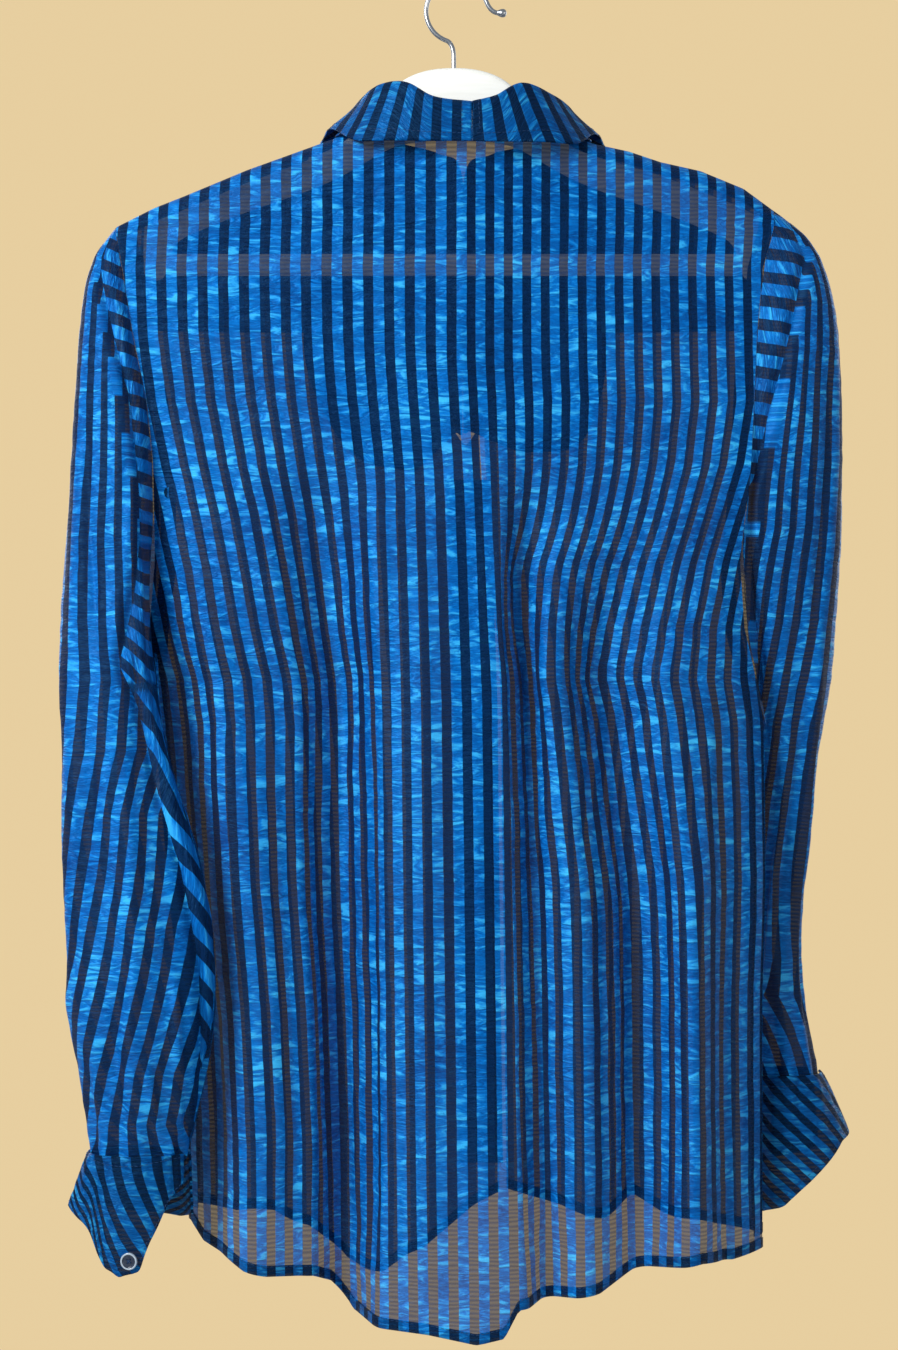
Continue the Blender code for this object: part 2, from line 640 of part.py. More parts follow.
def build_placket():
    grid = placket_grid()
    normals = skin_normals(grid, False)
    outward = np.where(normals[..., 1:2] > 0.0, 1.0, -1.0)
    moved = grid + normals * outward * PLACKET_RISE
    wall("front_placket", "azure_organza", moved, WALL)
    for index in range(FRONT_BUTTONS):
        depth = FIRST_BUTTON + index * BUTTON_SPACING
        middle = column(CENTRE_THREAD, 1, depth)
        seat = front_place(middle, depth)
        seat[1] += LAYER + 0.5 * WALL + BUTTON_SEAT
        build_button(f"front_button_{index + 1}", seat, (0.0, 1.0, 0.0))


def build_button(name, seat, facing):
    """A small dished button, standing on its seat and facing outwards."""
    profile = (  # share of the radius, share of the thickness
        (0.0, 0.0), (0.88, 0.0), (1.0, 0.3), (1.0, 0.75), (0.9, 1.0), (0.74, 1.0), (0.62, 0.66), (0.0, 0.66),
    )
    sides = 10
    mesh = bmesh.new()
    rings = []
    for radius, height in profile[1:-1]:
        ring = []
        for index in range(sides):
            angle = 2.0 * math.pi * index / sides
            ring.append(mesh.verts.new((
                radius * BUTTON_RADIUS * math.cos(angle),
                radius * BUTTON_RADIUS * math.sin(angle),
                height * BUTTON_THICK,
            )))
        rings.append(ring)
    for first, second in zip(rings, rings[1:]):
        for index in range(sides):
            after = (index + 1) % sides
            mesh.faces.new((first[index], first[after], second[after], second[index]))
    mesh.faces.new(rings[0][::-1])
    mesh.faces.new(rings[-1])
    bmesh.ops.triangulate(mesh, faces=mesh.faces)
    turn = Vector((0.0, 0.0, 1.0)).rotation_difference(Vector(facing)).to_matrix().to_4x4()
    place = Matrix.Scale(MM, 4) @ Matrix.Translation(Vector(seat)) @ turn
    bmesh.ops.transform(mesh, matrix=place, verts=mesh.verts)
    finish(name, "dark_button", mesh)


# Sleeves
def armhole_key(side, face):
    """The armhole's places on one face, one for each row of the body down to the underarm."""
    point = back_point if face < 0 else front_point
    depths = row_depths(shoulder_tip(side), underarm(side), 800.0)[:BODY_ROWS_ABOVE + 1]
    return np.array([point(float(side), depth) for depth in depths])


def armhole_loop(side):
    """The armhole from the shoulder tip down the back to the underarm and up the front."""
    back = armhole_key(side, -1)
    front = armhole_key(side, 1)
    keys = np.concatenate([back, front[::-1][1:]])
    count = len(keys) - 1
    loop = []
    for index in range(2 * count):
        place = index / 2.0
        low = int(place)
        loop.append(keys[low] + (keys[(low + 1) % len(keys)] - keys[low]) * (place - low))
    loop = np.array(loop)
    tip = 0.5 * (back[0] + front[0])
    loop[0] = tip
    return loop


def sleeve_column(table, side, share, depth):
    """A place on the hanging tube: share runs from the outer edge (0) round either face (1 or -1)."""
    outer = column(table, 1, depth)
    inner = column(table, 2, depth)
    middle = column(table, 3, depth)
    half = column(table, 4, depth)
    tip = shoulder_tip(side)
    reached = min(max((depth - tip) / (underarm(side) - tip), 0.04), 1.0)
    end = math.radians(100.0 + 80.0 * smooth((depth - underarm(side) + 110.0) / 170.0))
    angle = end * min(abs(share) / reached, 1.0)
    across = outer + (inner - outer) * (1.0 - math.cos(angle)) / (1.0 - math.cos(end))
    face = -1.0 if share >= 0.0 else 1.0
    away = face * half * math.sin(angle) ** 0.85
    round_it = math.degrees(angle) * (1.0 if share >= 0.0 else -1.0)
    dip = 0.0
    for at, width, top, full, depth_of_dip in SLEEVE_FOLDS:
        near = max(1.0 - abs(round_it - at) / width, 0.0)
        dip += depth_of_dip * smooth(near * 1.4) * smooth((depth - top) / (full - top))
    foot = table[-1][0]
    gathers = GATHER_DIP * smooth((depth - foot + GATHER_REACH) / GATHER_REACH)
    dip += gathers * (1.0 - math.cos(2.0 * GATHERS * angle))
    shrink = 1.0 - dip / max(half, 8.0) * 0.8
    centre = 0.5 * (outer + inner)
    return np.array((centre + (across - centre) * shrink, middle + away * shrink, -depth))


def sleeve_grid(table, side):
    loop = armhole_loop(side)
    count = len(loop)
    foot = table[-1][0]
    columns = []
    for index in range(count):
        half_turns = index / (count / 2.0)
        share = half_turns if half_turns <= 1.0 else half_turns - 2.0
        start = loop[index].copy()
        nearness = smooth((abs(share) - 0.72) / 0.2)
        start[0] += side * (SEAM_GAP + 1.5 * nearness)
        depth = -start[2]
        join = depth + CAP_DROP
        hung = sleeve_column(table, side, share, join)
        corner = np.array((hung[0], 0.5 * (start[1] + hung[1]), start[2] - 0.12 * CAP_DROP))
        line = []
        for step in range(SLEEVE_RINGS_CAP):
            t = step / SLEEVE_RINGS_CAP
            line.append(start * (1 - t) ** 2 + corner * 2 * t * (1 - t) + hung * t * t)
        for step in range(SLEEVE_RINGS_TUBE + 1):
            t = step / SLEEVE_RINGS_TUBE
            line.append(sleeve_column(table, side, share, join + (foot - join) * t))
        columns.append(line)
    return settle(np.array(columns).swapaxes(0, 1))


def settle(grid):
    """Evens out the cloth between its seam and its foot, so that no fold crosses its neighbour."""
    for _ in range(SLEEVE_SETTLING):
        beside = 0.5 * (np.roll(grid, 1, axis=1) + np.roll(grid, -1, axis=1))
        above = 0.5 * (grid[:-2] + grid[2:])
        grid[1:-1] = 0.5 * grid[1:-1] + 0.25 * (beside[1:-1] + above)
    return grid


def build_sleeves():
    for side, name, table in ((-1, "left", LEFT_SLEEVE), (1, "right", RIGHT_SLEEVE)):
        grid = sleeve_grid(table, side)
        normals = skin_normals(grid, True)
        flatten_normals(normals, [(0, c) for c in range(grid.shape[1])], 0)
        wall(f"sleeve_{name}", "azure_organza", grid, WALL, around=True, normals=normals)


# Cuffs
def cuff_grid(cuff, table):
    """An open band that follows the sleeve's end and flares below it, with one end hanging lower."""
    foot = table[-1]
    centre = np.array((0.5 * (foot[1] + foot[2]), foot[3]))
    half = np.array((abs(foot[1] - foot[2]) * 0.5, foot[4])) + 0.5
    rows = []
    for row in range(CUFF_ROWS):
        down = row / (CUFF_ROWS - 1)
        line = []
        for step in range(CUFF_STEPS + 1):
            share = step / CUFF_STEPS
            angle = math.radians(column(cuff, 1, share))
            reach = half + column(cuff, 3, share) * down ** 0.8
            place = centre + reach * np.array((math.cos(angle), math.sin(angle)))
            line.append((place[0], place[1], -foot[0] - CUFF_GAP - column(cuff, 2, share) * down))
        rows.append(line)
    return np.array(rows)


def build_cuffs():
    thickness = WALL + 0.5
    for name, cuff, button, table in (
        ("left", LEFT_CUFF, LEFT_CUFF_BUTTON, LEFT_SLEEVE),
        ("right", RIGHT_CUFF, RIGHT_CUFF_BUTTON, RIGHT_SLEEVE),
    ):
        grid = cuff_grid(cuff, table)
        normals = skin_normals(grid, False)
        wall(f"cuff_{name}", "azure_organza", grid, thickness, normals=normals)
        step = round(button * CUFF_STEPS)
        middle = grid[-2, step] * 0.4 + grid[-1, step] * 0.6
        out = middle[:2] - grid[:, :, :2].mean(axis=(0, 1))
        facing = np.array((out[0], out[1], 0.0)) / np.linalg.norm(out)
        seat = middle + facing * (0.5 * thickness + 2.0 * SEAM_GAP)
        build_button(f"cuff_button_{name}", seat, facing)


# Collar
def seam_place(face, across):
    """Where the collar's lower edge meets the neckline of the back (face -1) or the front (face 1)."""
    if face < 0:
        return np.array((across, -neck_reach(across), -(top_depth(across) - COLLAR_SEAM_GAP)))
    depth = neckline_depth(across)
    edge = front_place(across, depth + 1.0)
    return np.array((across, edge[1], -(depth - COLLAR_SEAM_GAP)))


def along(keys, stations):
    """Smoothly reads rows of places at even stations, through every row."""
    padded = np.concatenate([2 * keys[:1] - keys[1:2], keys, 2 * keys[-1:] - keys[-2:-1]])
    lines = []
    for station in range(stations):
        place = station / (stations - 1) * (len(keys) - 1)
        low = min(int(place), len(keys) - 2)
        t = place - low
        before, first, second, after = padded[low:low + 4]
        lines.append(0.5 * (
            2 * first + (second - before) * t
            + (2 * before - 5 * first + 4 * second - after) * t * t
            + (3 * first - before - 3 * second + after) * t ** 3
        ))
    return lines


def collar_section(seam, rolled, edge, ahead, side):
    """Stand, roll and fall of the collar at one station: the roll opens square to the stand."""
    stand = (rolled - seam) / np.linalg.norm(rolled - seam)
    outward = side * np.cross(ahead, stand)
    outward /= max(np.linalg.norm(outward), 1e-6)
    line = [seam + (rolled - seam) * step / STAND_STEPS for step in range(STAND_STEPS + 1)]
    line.append(rolled + outward * ROLL_RADIUS + stand * 0.8 * ROLL_RADIUS)
    start = rolled + outward * 2.0 * ROLL_RADIUS
    line += [start + (edge - start) * step / FALL_STEPS for step in range(FALL_STEPS + 1)]
    return line


def lift_over_front(grid):
    """Moves the fall of the lapel out from the front that it lies on."""
    first = STAND_STEPS + 2
    for row in range(grid.shape[0]):
        for col in range(first, grid.shape[1]):
            across, away, height = grid[row, col]
            if away > 2.0 and -height > top_depth(across) + 1.0:
                limit = front_place(across, -height)[1]
                grid[row, col, 1] = max(away, limit + LAYER + 1.2)
    return grid


def build_collars():
    for side, name, rows in ((-1, "left", COLLAR_LEFT), (1, "right", COLLAR_RIGHT)):
        keys = []
        for face, seam, roll_x, roll_y, roll_depth, edge_x, edge_y, edge_depth in rows:
            rolled = (roll_x, roll_y, -roll_depth)
            keys.append((seam_place(face, seam), rolled, (edge_x, edge_y, -edge_depth)))
        lines = np.array(along(np.array(keys), COLLAR_STATIONS))
        ahead = np.gradient(lines[:, 1], axis=0)
        sections = [collar_section(*line, way, side) for line, way in zip(lines, ahead)]
        grid = lift_over_front(np.array(sections))
        normals = skin_normals(grid, False)
        flatten_normals(normals, [(0, c) for c in range(grid.shape[1])], 0)
        wall(f"collar_{name}", "azure_organza", grid, WALL, normals=normals)


# Hanger
def build_hanger():
    stations = [row for row in HANGER_PROFILE[::-1]] + [row for row in HANGER_PROFILE[1:]]
    count = len(HANGER_PROFILE)
    rings = []
    for index, (reach, top, bottom, half) in enumerate(stations):
        across = HANGER_MIDDLE + (-reach if index < count else reach)
        middle = 0.5 * (top + bottom)
        tall = 0.5 * (bottom - top)
        ring = []
        for side in range(HANGER_SIDES):
            angle = 2.0 * math.pi * (side + 0.5) / HANGER_SIDES
            sine = math.sin(angle)
            cosine = math.cos(angle)
            rise = math.copysign(abs(sine) ** 0.7, sine) * tall
            thick = math.copysign(abs(cosine) ** 0.5, cosine) * half
            ring.append((across, thick, -middle + rise))
        rings.append(ring)
    loft("hanger_arms", "white_paint", rings)
    rings = []
    for across in (-BAR_REACH, BAR_REACH):
        ring = []
        for side in range(BAR_SIDES):
            angle = 2.0 * math.pi * side / BAR_SIDES
            away = BAR_RADIUS * math.cos(angle)
            ring.append((HANGER_MIDDLE + across, away, BAR_RADIUS * math.sin(angle) - BAR_DEPTH))
        rings.append(ring)
    loft("hanger_bar", "white_paint", rings)


def hook_line():
    """Centre line of the wire: up the stem, round the hook and out to its tip."""
    centre = WIRE_RADIUS - HOOK_RADIUS
    first, last, steps = HOOK_ARC
    arc = []
    for step in range(steps + 1):
        angle = math.radians(first + (last - first) * step / steps)
        arc.append((HOOK_RADIUS * math.cos(angle), centre + HOOK_RADIUS * math.sin(angle)))
    return [Vector((across, 0.0, height)) for across, height in (*HOOK_STEM, *arc, *HOOK_END)]


def wire_ring(middle, ahead, radius):
    side = Vector((0.0, 1.0, 0.0))
    up = ahead.cross(side)
    angles = [2.0 * math.pi * index / WIRE_SIDES for index in range(WIRE_SIDES)]
    return [middle + side * radius * math.cos(angle) + up * radius * math.sin(angle) for angle in angles]


def build_hook():
    line = hook_line()
    rings = []
    for index, place in enumerate(line):
        ahead = (line[min(index + 1, len(line) - 1)] - line[max(index - 1, 0)]).normalized()
        rings.append(wire_ring(place, ahead, WIRE_RADIUS))
    ahead = (line[-1] - line[-2]).normalized()
    for step in range(1, HOOK_TIP_RINGS + 1):
        angle = math.pi * (0.12 + 0.82 * step / HOOK_TIP_RINGS)
        reach = HOOK_TIP_RADIUS * (1.0 - math.cos(angle))
        rings.append(wire_ring(line[-1] + ahead * reach, ahead, HOOK_TIP_RADIUS * math.sin(angle)))
    loft("hanger_hook", "bright_wire", rings)


for old in list(bpy.data.objects):
    bpy.data.objects.remove(old, do_unlink=True)
build_hanger()
build_hook()
build_back()
build_fronts()
build_placket()
build_sleeves()
build_cuffs()
build_collars()
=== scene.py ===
import math

import bmesh
import bpy
import numpy as np
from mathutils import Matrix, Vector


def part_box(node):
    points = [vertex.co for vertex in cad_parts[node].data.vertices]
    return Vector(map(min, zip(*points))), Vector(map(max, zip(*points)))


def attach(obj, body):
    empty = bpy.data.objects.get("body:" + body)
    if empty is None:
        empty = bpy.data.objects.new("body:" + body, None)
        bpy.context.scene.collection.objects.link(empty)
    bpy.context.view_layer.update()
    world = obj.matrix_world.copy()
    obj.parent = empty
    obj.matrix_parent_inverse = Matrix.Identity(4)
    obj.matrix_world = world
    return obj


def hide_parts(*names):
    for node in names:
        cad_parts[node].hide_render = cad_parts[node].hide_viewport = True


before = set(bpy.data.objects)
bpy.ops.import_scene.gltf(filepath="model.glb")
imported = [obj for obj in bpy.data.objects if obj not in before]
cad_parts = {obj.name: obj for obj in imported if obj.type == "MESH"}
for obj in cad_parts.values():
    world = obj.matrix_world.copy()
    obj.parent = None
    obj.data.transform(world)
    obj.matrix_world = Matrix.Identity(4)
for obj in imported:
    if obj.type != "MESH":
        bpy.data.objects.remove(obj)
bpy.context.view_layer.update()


# Camera, floor and light. The shirt hangs level with the lens, its back to the camera, before a warm
# plain ground. The light is broad and soft from the camera's side, with weaker fill from behind.
scene = bpy.context.scene
scene.view_settings.view_transform = "Standard"
lens = bpy.data.cameras.new("camera")
lens.lens = 68.2
camera = bpy.data.objects.new("camera", lens)
camera.location = (-0.005, -1.6, -0.433)
camera.rotation_euler = (math.radians(90.0), 0.0, 0.0)
scene.collection.objects.link(camera)
scene.camera = camera

bpy.ops.object.select_all(action="DESELECT")
bpy.ops.mesh.primitive_circle_add(vertices=96, radius=0.95, fill_type="NGON", location=(0.0, 0.0, -1.42))
floor = bpy.context.object
floor.name = "floor"


def new_finish(name):
    made = bpy.data.materials.new(name)
    made.use_nodes = True
    return made, made.node_tree, made.node_tree.nodes["Principled BSDF"]


floor_paint, _, floor_shader = new_finish("pale_floor")
floor_shader.inputs["Base Color"].default_value = (0.82, 0.78, 0.70, 1.0)
floor_shader.inputs["Roughness"].default_value = 0.8
floor.data.materials.append(floor_paint)

world = scene.world or bpy.data.worlds.new("studio")
scene.world = world
world.use_nodes = True
sky = world.node_tree
ground = sky.nodes["Background"]
ground.inputs["Color"].default_value = (0.80, 0.62, 0.35, 1.0)
ground.inputs["Strength"].default_value = 1.0
fill = sky.nodes.new("ShaderNodeBackground")
fill.inputs["Color"].default_value = (0.86, 0.93, 1.0, 1.0)
fill.inputs["Strength"].default_value = 0.30
seen = sky.nodes.new("ShaderNodeLightPath")
either = sky.nodes.new("ShaderNodeMixShader")
sky.links.new(seen.outputs["Is Camera Ray"], either.inputs[0])
sky.links.new(fill.outputs[0], either.inputs[1])
sky.links.new(ground.outputs[0], either.inputs[2])
sky.links.new(either.outputs[0], sky.nodes["World Output"].inputs["Surface"])


def soft_light(name, place, toward, size, power, colour):
    light = bpy.data.lights.new(name, "AREA")
    light.size = size
    light.energy = power
    light.color = colour
    lamp = bpy.data.objects.new(name, light)
    lamp.location = place
    aim = np.array(toward) - np.array(place)
    flat = math.hypot(aim[0], aim[1])
    lamp.rotation_euler = (math.atan2(flat, -aim[2]), 0.0, math.atan2(-aim[0], aim[1]))
    scene.collection.objects.link(lamp)


soft_light("window", (-1.5, -1.7, 0.6), (0.0, 0.0, -0.4), 1.0, 66.0, (0.94, 0.97, 1.0))
soft_light("fill", (1.5, -1.6, -0.2), (0.0, 0.0, -0.45), 1.2, 7.0, (1.0, 0.97, 0.93))
soft_light("behind_left", (-1.3, 1.8, 0.4), (0.0, 0.0, -0.45), 1.3, 9.0, (1.0, 0.98, 0.95))
soft_light("behind_right", (1.5, 1.7, 0.1), (0.0, 0.0, -0.45), 1.3, 7.0, (0.95, 0.97, 1.0))


# Back of the shirt: one panel of organza with woven satin and sheer stripes, cut on the straight grain
# and hung from its shoulder seams. It keeps its width along every level, so the side that the hanger
# doesn't stretch falls in long soft folds, and the satin stripes are crimped all over.
MM = 0.001
SEAM_GAP = 0.3
TOP_EDGE = (  # across, depth
    (-213.0, 153.0), (-189.0, 141.0), (-171.0, 134.0), (-131.0, 117.5), (-76.0, 98.0),
    (-40.0, 102.5), (4.0, 105.0), (48.0, 104.0), (84.0, 101.0),
    (107.5, 106.0), (127.0, 112.5), (152.0, 118.0), (179.0, 129.0), (197.5, 142.5),
)
NECK = (-76.0, 84.0)
NECK_BACK = 30.0
SHOULDER_ROLL = 13.0
SIDE_SEAMS = (  # depth, left, right, half cloth
    (90.0, -213.0, 197.5, 206.0), (153.0, -213.0, 197.5, 206.0), (180.0, -208.0, 190.0, 200.0),
    (222.0, -201.0, 186.0, 195.0), (264.0, -192.0, 184.0, 192.0), (303.0, -188.0, 182.0, 197.0),
    (362.0, -187.0, 175.0, 212.0), (403.0, -191.0, 178.0, 226.0), (436.0, -191.0, 186.0, 236.0),
    (464.0, -189.0, 192.0, 238.0), (560.0, -181.0, 193.0, 238.0), (640.0, -173.0, 191.0, 238.0),
    (720.0, -168.0, 191.0, 238.0), (870.0, -166.0, 191.0, 238.0),
)
SHOULDER_TIP = {-1: 153.0, 1: 142.5}
UNDERARM = {-1: 436.0, 1: 464.0}
CENTRE_THREAD = (  # depth, across
    (90.0, 3.0), (240.0, 3.0), (330.0, 8.0), (450.0, 12.0), (700.0, 15.0), (870.0, 17.0),
)
ARMHOLE_SPREAD = (  # share of the way down the armhole, half opening
    (0.0, 9.5), (0.1, 11.0), (0.3, 15.0), (0.55, 18.0), (0.75, 17.0), (0.88, 12.0), (0.95, 7.0), (1.0, 0.15),
)
BODY_DEPTH = (  # depth, back, front
    (90.0, 30.0, 24.0), (150.0, 26.0, 26.0), (250.0, 28.0, 34.0), (350.0, 40.0, 42.0),
    (500.0, 52.0, 50.0), (700.0, 58.0, 52.0), (870.0, 60.0, 50.0),
)
EDGE_TURN = (  # depth, degrees that the cloth turns towards the side seam
    (90.0, 2.0), (300.0, 10.0), (430.0, 38.0), (560.0, 52.0), (870.0, 58.0),
)
EDGE_TURN_REACH = 62.0
STEEPEST = math.radians(74.0)
BACK_LEFT_FOLDS = (  # thread, half width, top, full depth, degrees, slant per 100 mm
    (76.0, 24.0, 285.0, 470.0, 64.0, 1.2), (116.0, 22.0, 285.0, 470.0, -58.0, 1.2),
    (158.0, 20.0, 330.0, 620.0, -30.0, 0.0), (194.0, 20.0, 300.0, 520.0, 34.0, 0.0),
)
BACK_RIGHT_FOLDS = (
    (33.0, 17.0, 270.0, 480.0, 56.0, 1.0), (62.0, 15.0, 300.0, 520.0, -38.0, 1.0),
    (103.0, 26.0, 300.0, 560.0, 38.0, 0.5), (148.0, 24.0, 340.0, 600.0, -40.0, 0.0),
    (188.0, 20.0, 380.0, 640.0, 36.0, 0.0),
)
BACK_HEM = (  # across, depth
    (-166.0, 772.0), (-157.0, 783.0), (-145.0, 788.0), (-130.0, 795.0), (-116.0, 798.0),
    (-88.0, 800.0), (-78.0, 806.0), (-64.0, 825.0), (-48.0, 828.0), (-18.0, 831.0),
    (11.0, 836.0), (28.0, 832.0), (37.0, 815.0), (59.0, 812.0), (87.0, 808.0),
    (109.0, 798.0), (130.0, 794.0), (149.0, 790.0), (170.0, 793.0), (191.0, 790.0),
)
HEM_WIDTH = 5.6
THREADS = np.linspace(0.0, 1.0, 161)
LEVEL_TOP = 84.0
LEVEL_STEP = 8.0
LEVELS = np.arange(LEVEL_TOP, 876.0, LEVEL_STEP)


def plain(rows, index, at):
    """Reads a table straight from row to row."""
    return np.interp(at, [row[0] for row in rows], [row[index] for row in rows])


def smooth(value):
    value = np.clip(value, 0.0, 1.0)
    return value * value * (3.0 - 2.0 * value)


def spread(side, depth):
    tip = SHOULDER_TIP[side]
    return plain(ARMHOLE_SPREAD, 1, (depth - tip) / (UNDERARM[side] - tip))


def half_level(folds, depth, width):
    """Steps outwards and inwards along one half at one depth, with the cloth's own width kept."""
    half_cloth = plain(SIDE_SEAMS, 3, depth)
    thread = THREADS * half_cloth
    wave = np.zeros_like(thread)
    for middle, half, top, full, degrees, slant in folds:
        centre = middle + slant * (depth - top) / 100.0
        away = smooth((1.0 - np.abs(thread - centre) / half) * 1.9)
        wave += math.radians(degrees) * smooth((depth - top) / (full - top)) * away
    turn = math.radians(plain(EDGE_TURN, 1, depth)) * np.clip(
        (thread - half_cloth + EDGE_TURN_REACH) / EDGE_TURN_REACH, 0.0, 1.0)
    low, high = 0.0, 3.0
    steps = np.diff(thread)
    for _ in range(26):
        scale = 0.5 * (low + high)
        angle = np.clip(wave * scale + turn, -STEEPEST, STEEPEST)
        middle = 0.5 * (angle[1:] + angle[:-1])
        if np.sum(np.cos(middle) * steps) > width:
            low = scale
        else:
            high = scale
    out = np.concatenate([[0.0], np.cumsum(np.cos(middle) * steps)])
    inward = np.concatenate([[0.0], np.cumsum(np.sin(middle) * steps)])
    return out * width / out[-1], inward


def panel_levels(face, left_folds, right_folds):
    """Across and front-to-back of every thread at every level, for the back (-1) or the fronts (1)."""
    across, away = [], []
    for depth in LEVELS:
        centre = plain(CENTRE_THREAD, 1, depth)
        middle_depth = plain(BODY_DEPTH, 1 if face < 0 else 2, depth)
        sides = []
        for side, folds in ((-1, left_folds), (1, right_folds)):
            seam = plain(SIDE_SEAMS, 1 if side < 0 else 2, depth)
            out, inward = half_level(folds, depth, abs(seam - centre))
            level = spread(side, depth) + inward[-1] - inward
            ramp = (1.0 - THREADS) ** 1.5
            sides.append((centre + side * out, level + (middle_depth - level[0]) * ramp))
        across.append(np.concatenate([sides[0][0][::-1], sides[1][0][1:]]))
        away.append(np.concatenate([sides[0][1][::-1], sides[1][1][1:]]) * face)
    return np.array([across, away])


BACK = panel_levels(-1, BACK_LEFT_FOLDS, BACK_RIGHT_FOLDS)


def level_at(panel, thread, depth):
    """Across and front-to-back of threads (-1 to 1) at depths."""
    row = np.clip((depth - LEVEL_TOP) / LEVEL_STEP, 0.0, len(LEVELS) - 1.001)
    col = np.clip((thread + 1.0) * (len(THREADS) - 1), 0.0, 2 * len(THREADS) - 2.001)
    r, c = row.astype(int), col.astype(int)
    down, over = row - r, col - c
    upper = panel[:, r, c] * (1.0 - over) + panel[:, r, c + 1] * over
    lower = panel[:, r + 1, c] * (1.0 - over) + panel[:, r + 1, c + 1] * over
    return upper * (1.0 - down) + lower * down


def thread_at(panel, across, depth):
    """The thread that passes a place across the body, found by halving."""
    low = np.full(np.shape(across), -1.0)
    high = np.full(np.shape(across), 1.0)
    for _ in range(22):
        middle = 0.5 * (low + high)
        less = level_at(panel, middle, depth)[0] < across
        low = np.where(less, middle, low)
        high = np.where(less, high, middle)
    return 0.5 * (low + high)


def top_depth(across):
    return plain(TOP_EDGE, 1, across)


def neck_reach(across):
    share = (across - 0.5 * (NECK[0] + NECK[1])) / (0.5 * (NECK[1] - NECK[0]))
    return NECK_BACK * np.sqrt(np.maximum(1.0 - share * share, 0.0))


def over_shoulder(distance):
    left = 1.0 - np.clip(distance / SHOULDER_ROLL, 0.0, 1.0)
    return np.sqrt(1.0 - left * left)


def back_point(thread, depth):
    """Places on the back's surface, in millimetres."""
    across, away = level_at(BACK, thread, depth)
    start = -0.5 * SEAM_GAP - neck_reach(across)
    away = start + (away - start) * over_shoulder(depth - top_depth(across))
    return np.stack([across, np.minimum(away, -0.5 * SEAM_GAP), -depth], axis=-1)


def normals_of(grid, around=False):
    if around:
        along = np.roll(grid, -1, axis=1) - np.roll(grid, 1, axis=1)
    else:
        along = np.gradient(grid, axis=1)
    normal = np.cross(np.gradient(grid, axis=0), along)
    return normal / np.maximum(np.linalg.norm(normal, axis=2, keepdims=True), 1e-9)


def creases(rows, across, down):
    """Soft ridges and troughs laid on the cloth one by one, each fading out at both its ends."""
    lift = np.zeros_like(across)
    for x0, d0, x1, d1, half, height in rows:
        run = (x1 - x0) ** 2 + (d1 - d0) ** 2
        share = ((across - x0) * (x1 - x0) + (down - d0) * (d1 - d0)) / run
        beside = np.hypot(across - x0 - share * (x1 - x0), down - d0 - share * (d1 - d0))
        lift += height * np.exp(-(beside / half) ** 2) * smooth(np.minimum(share, 1.0 - share) * 3.5)
    return lift


def crimp(across, down, wide, tall, seed):
    """Uneven small waves in the cloth, longer across the stripes than along them."""
    lattice = np.random.default_rng(seed).random((160, 260))
    x = across / wide + 60.0 + 0.35 * np.sin(down / 37.0)
    y = down / tall + 0.6 * np.sin(across / 23.0 + seed)
    c, r = np.floor(x).astype(int), np.floor(y).astype(int)
    tx, ty = smooth(x - c), smooth(y - r)
    corner = [[lattice[(c + i) % 160, (r + j) % 260] for j in (0, 1)] for i in (0, 1)]
    upper = corner[0][0] * (1.0 - tx) + corner[1][0] * tx
    lower = corner[0][1] * (1.0 - tx) + corner[1][1] * tx
    return upper * (1.0 - ty) + lower * ty - 0.5


def sheet_mesh(name, grid, maps, around=False, flip=False):
    """A sheet of cloth through a grid of places, with its flat places as UV maps in metres."""
    rows, cols = grid.shape[:2]
    spans = cols if around else cols - 1
    r, c = np.meshgrid(np.arange(rows - 1), np.arange(spans), indexing="ij")
    n = c + 1
    corners = [(r, c), (r + 1, c), (r + 1, n), (r, n)]
    if flip:
        corners = corners[::-1]
    faces = np.stack([row * cols + col % cols for row, col in corners], axis=-1).reshape(-1, 4)
    mesh = bpy.data.meshes.new(name)
    mesh.from_pydata((grid.reshape(-1, 3) * MM).tolist(), [], faces.tolist())
    for label, flat in maps.items():
        layer = mesh.uv_layers.new(name=label)
        loops = np.stack([flat[row, col] for row, col in corners], axis=2).reshape(-1, 2) * MM
        layer.data.foreach_set("uv", loops.astype(np.float32).ravel())
    mesh.shade_smooth()
    piece = bpy.data.objects.new(name, mesh)
    scene.collection.objects.link(piece)
    return piece


BODY_CRIMP = ((1.5, 46.0, 30.0, 0), (0.6, 17.0, 6.0, 1))  # height, across, down, step of the seed


def crimped(waves, across, down, seed):
    return sum(height * crimp(across, down, wide, tall, seed + step) for height, wide, tall, step in waves)


def body_sheet(point, threads, tops, feet, rows, folds, seed, flip):
    """A panel of the body from its top edge to its hem, with its small folds and its crimp."""
    share = (np.linspace(0.0, 1.0, rows) ** 1.35)[:, None]
    depth = tops + (feet - tops) * share
    thread = np.broadcast_to(threads, depth.shape)
    grid = point(thread, depth)
    cloth = thread * plain(SIDE_SEAMS, 3, depth)
    free = smooth((depth - tops) / 40.0) * smooth((1.0 - np.abs(thread)) * 25.0)
    lift = creases(folds, cloth, depth) * free
    lift += crimped(BODY_CRIMP, cloth, depth, seed) * free
    grid = grid + normals_of(grid) * (lift * (-1.0 if flip else 1.0))[..., None]
    return grid, np.stack([cloth, -depth], axis=-1)


def node(tree, kind, **sockets):
    made = tree.nodes.new(kind)
    for key, value in sockets.items():
        made.inputs[key.replace("_", " ")].default_value = value
    return made


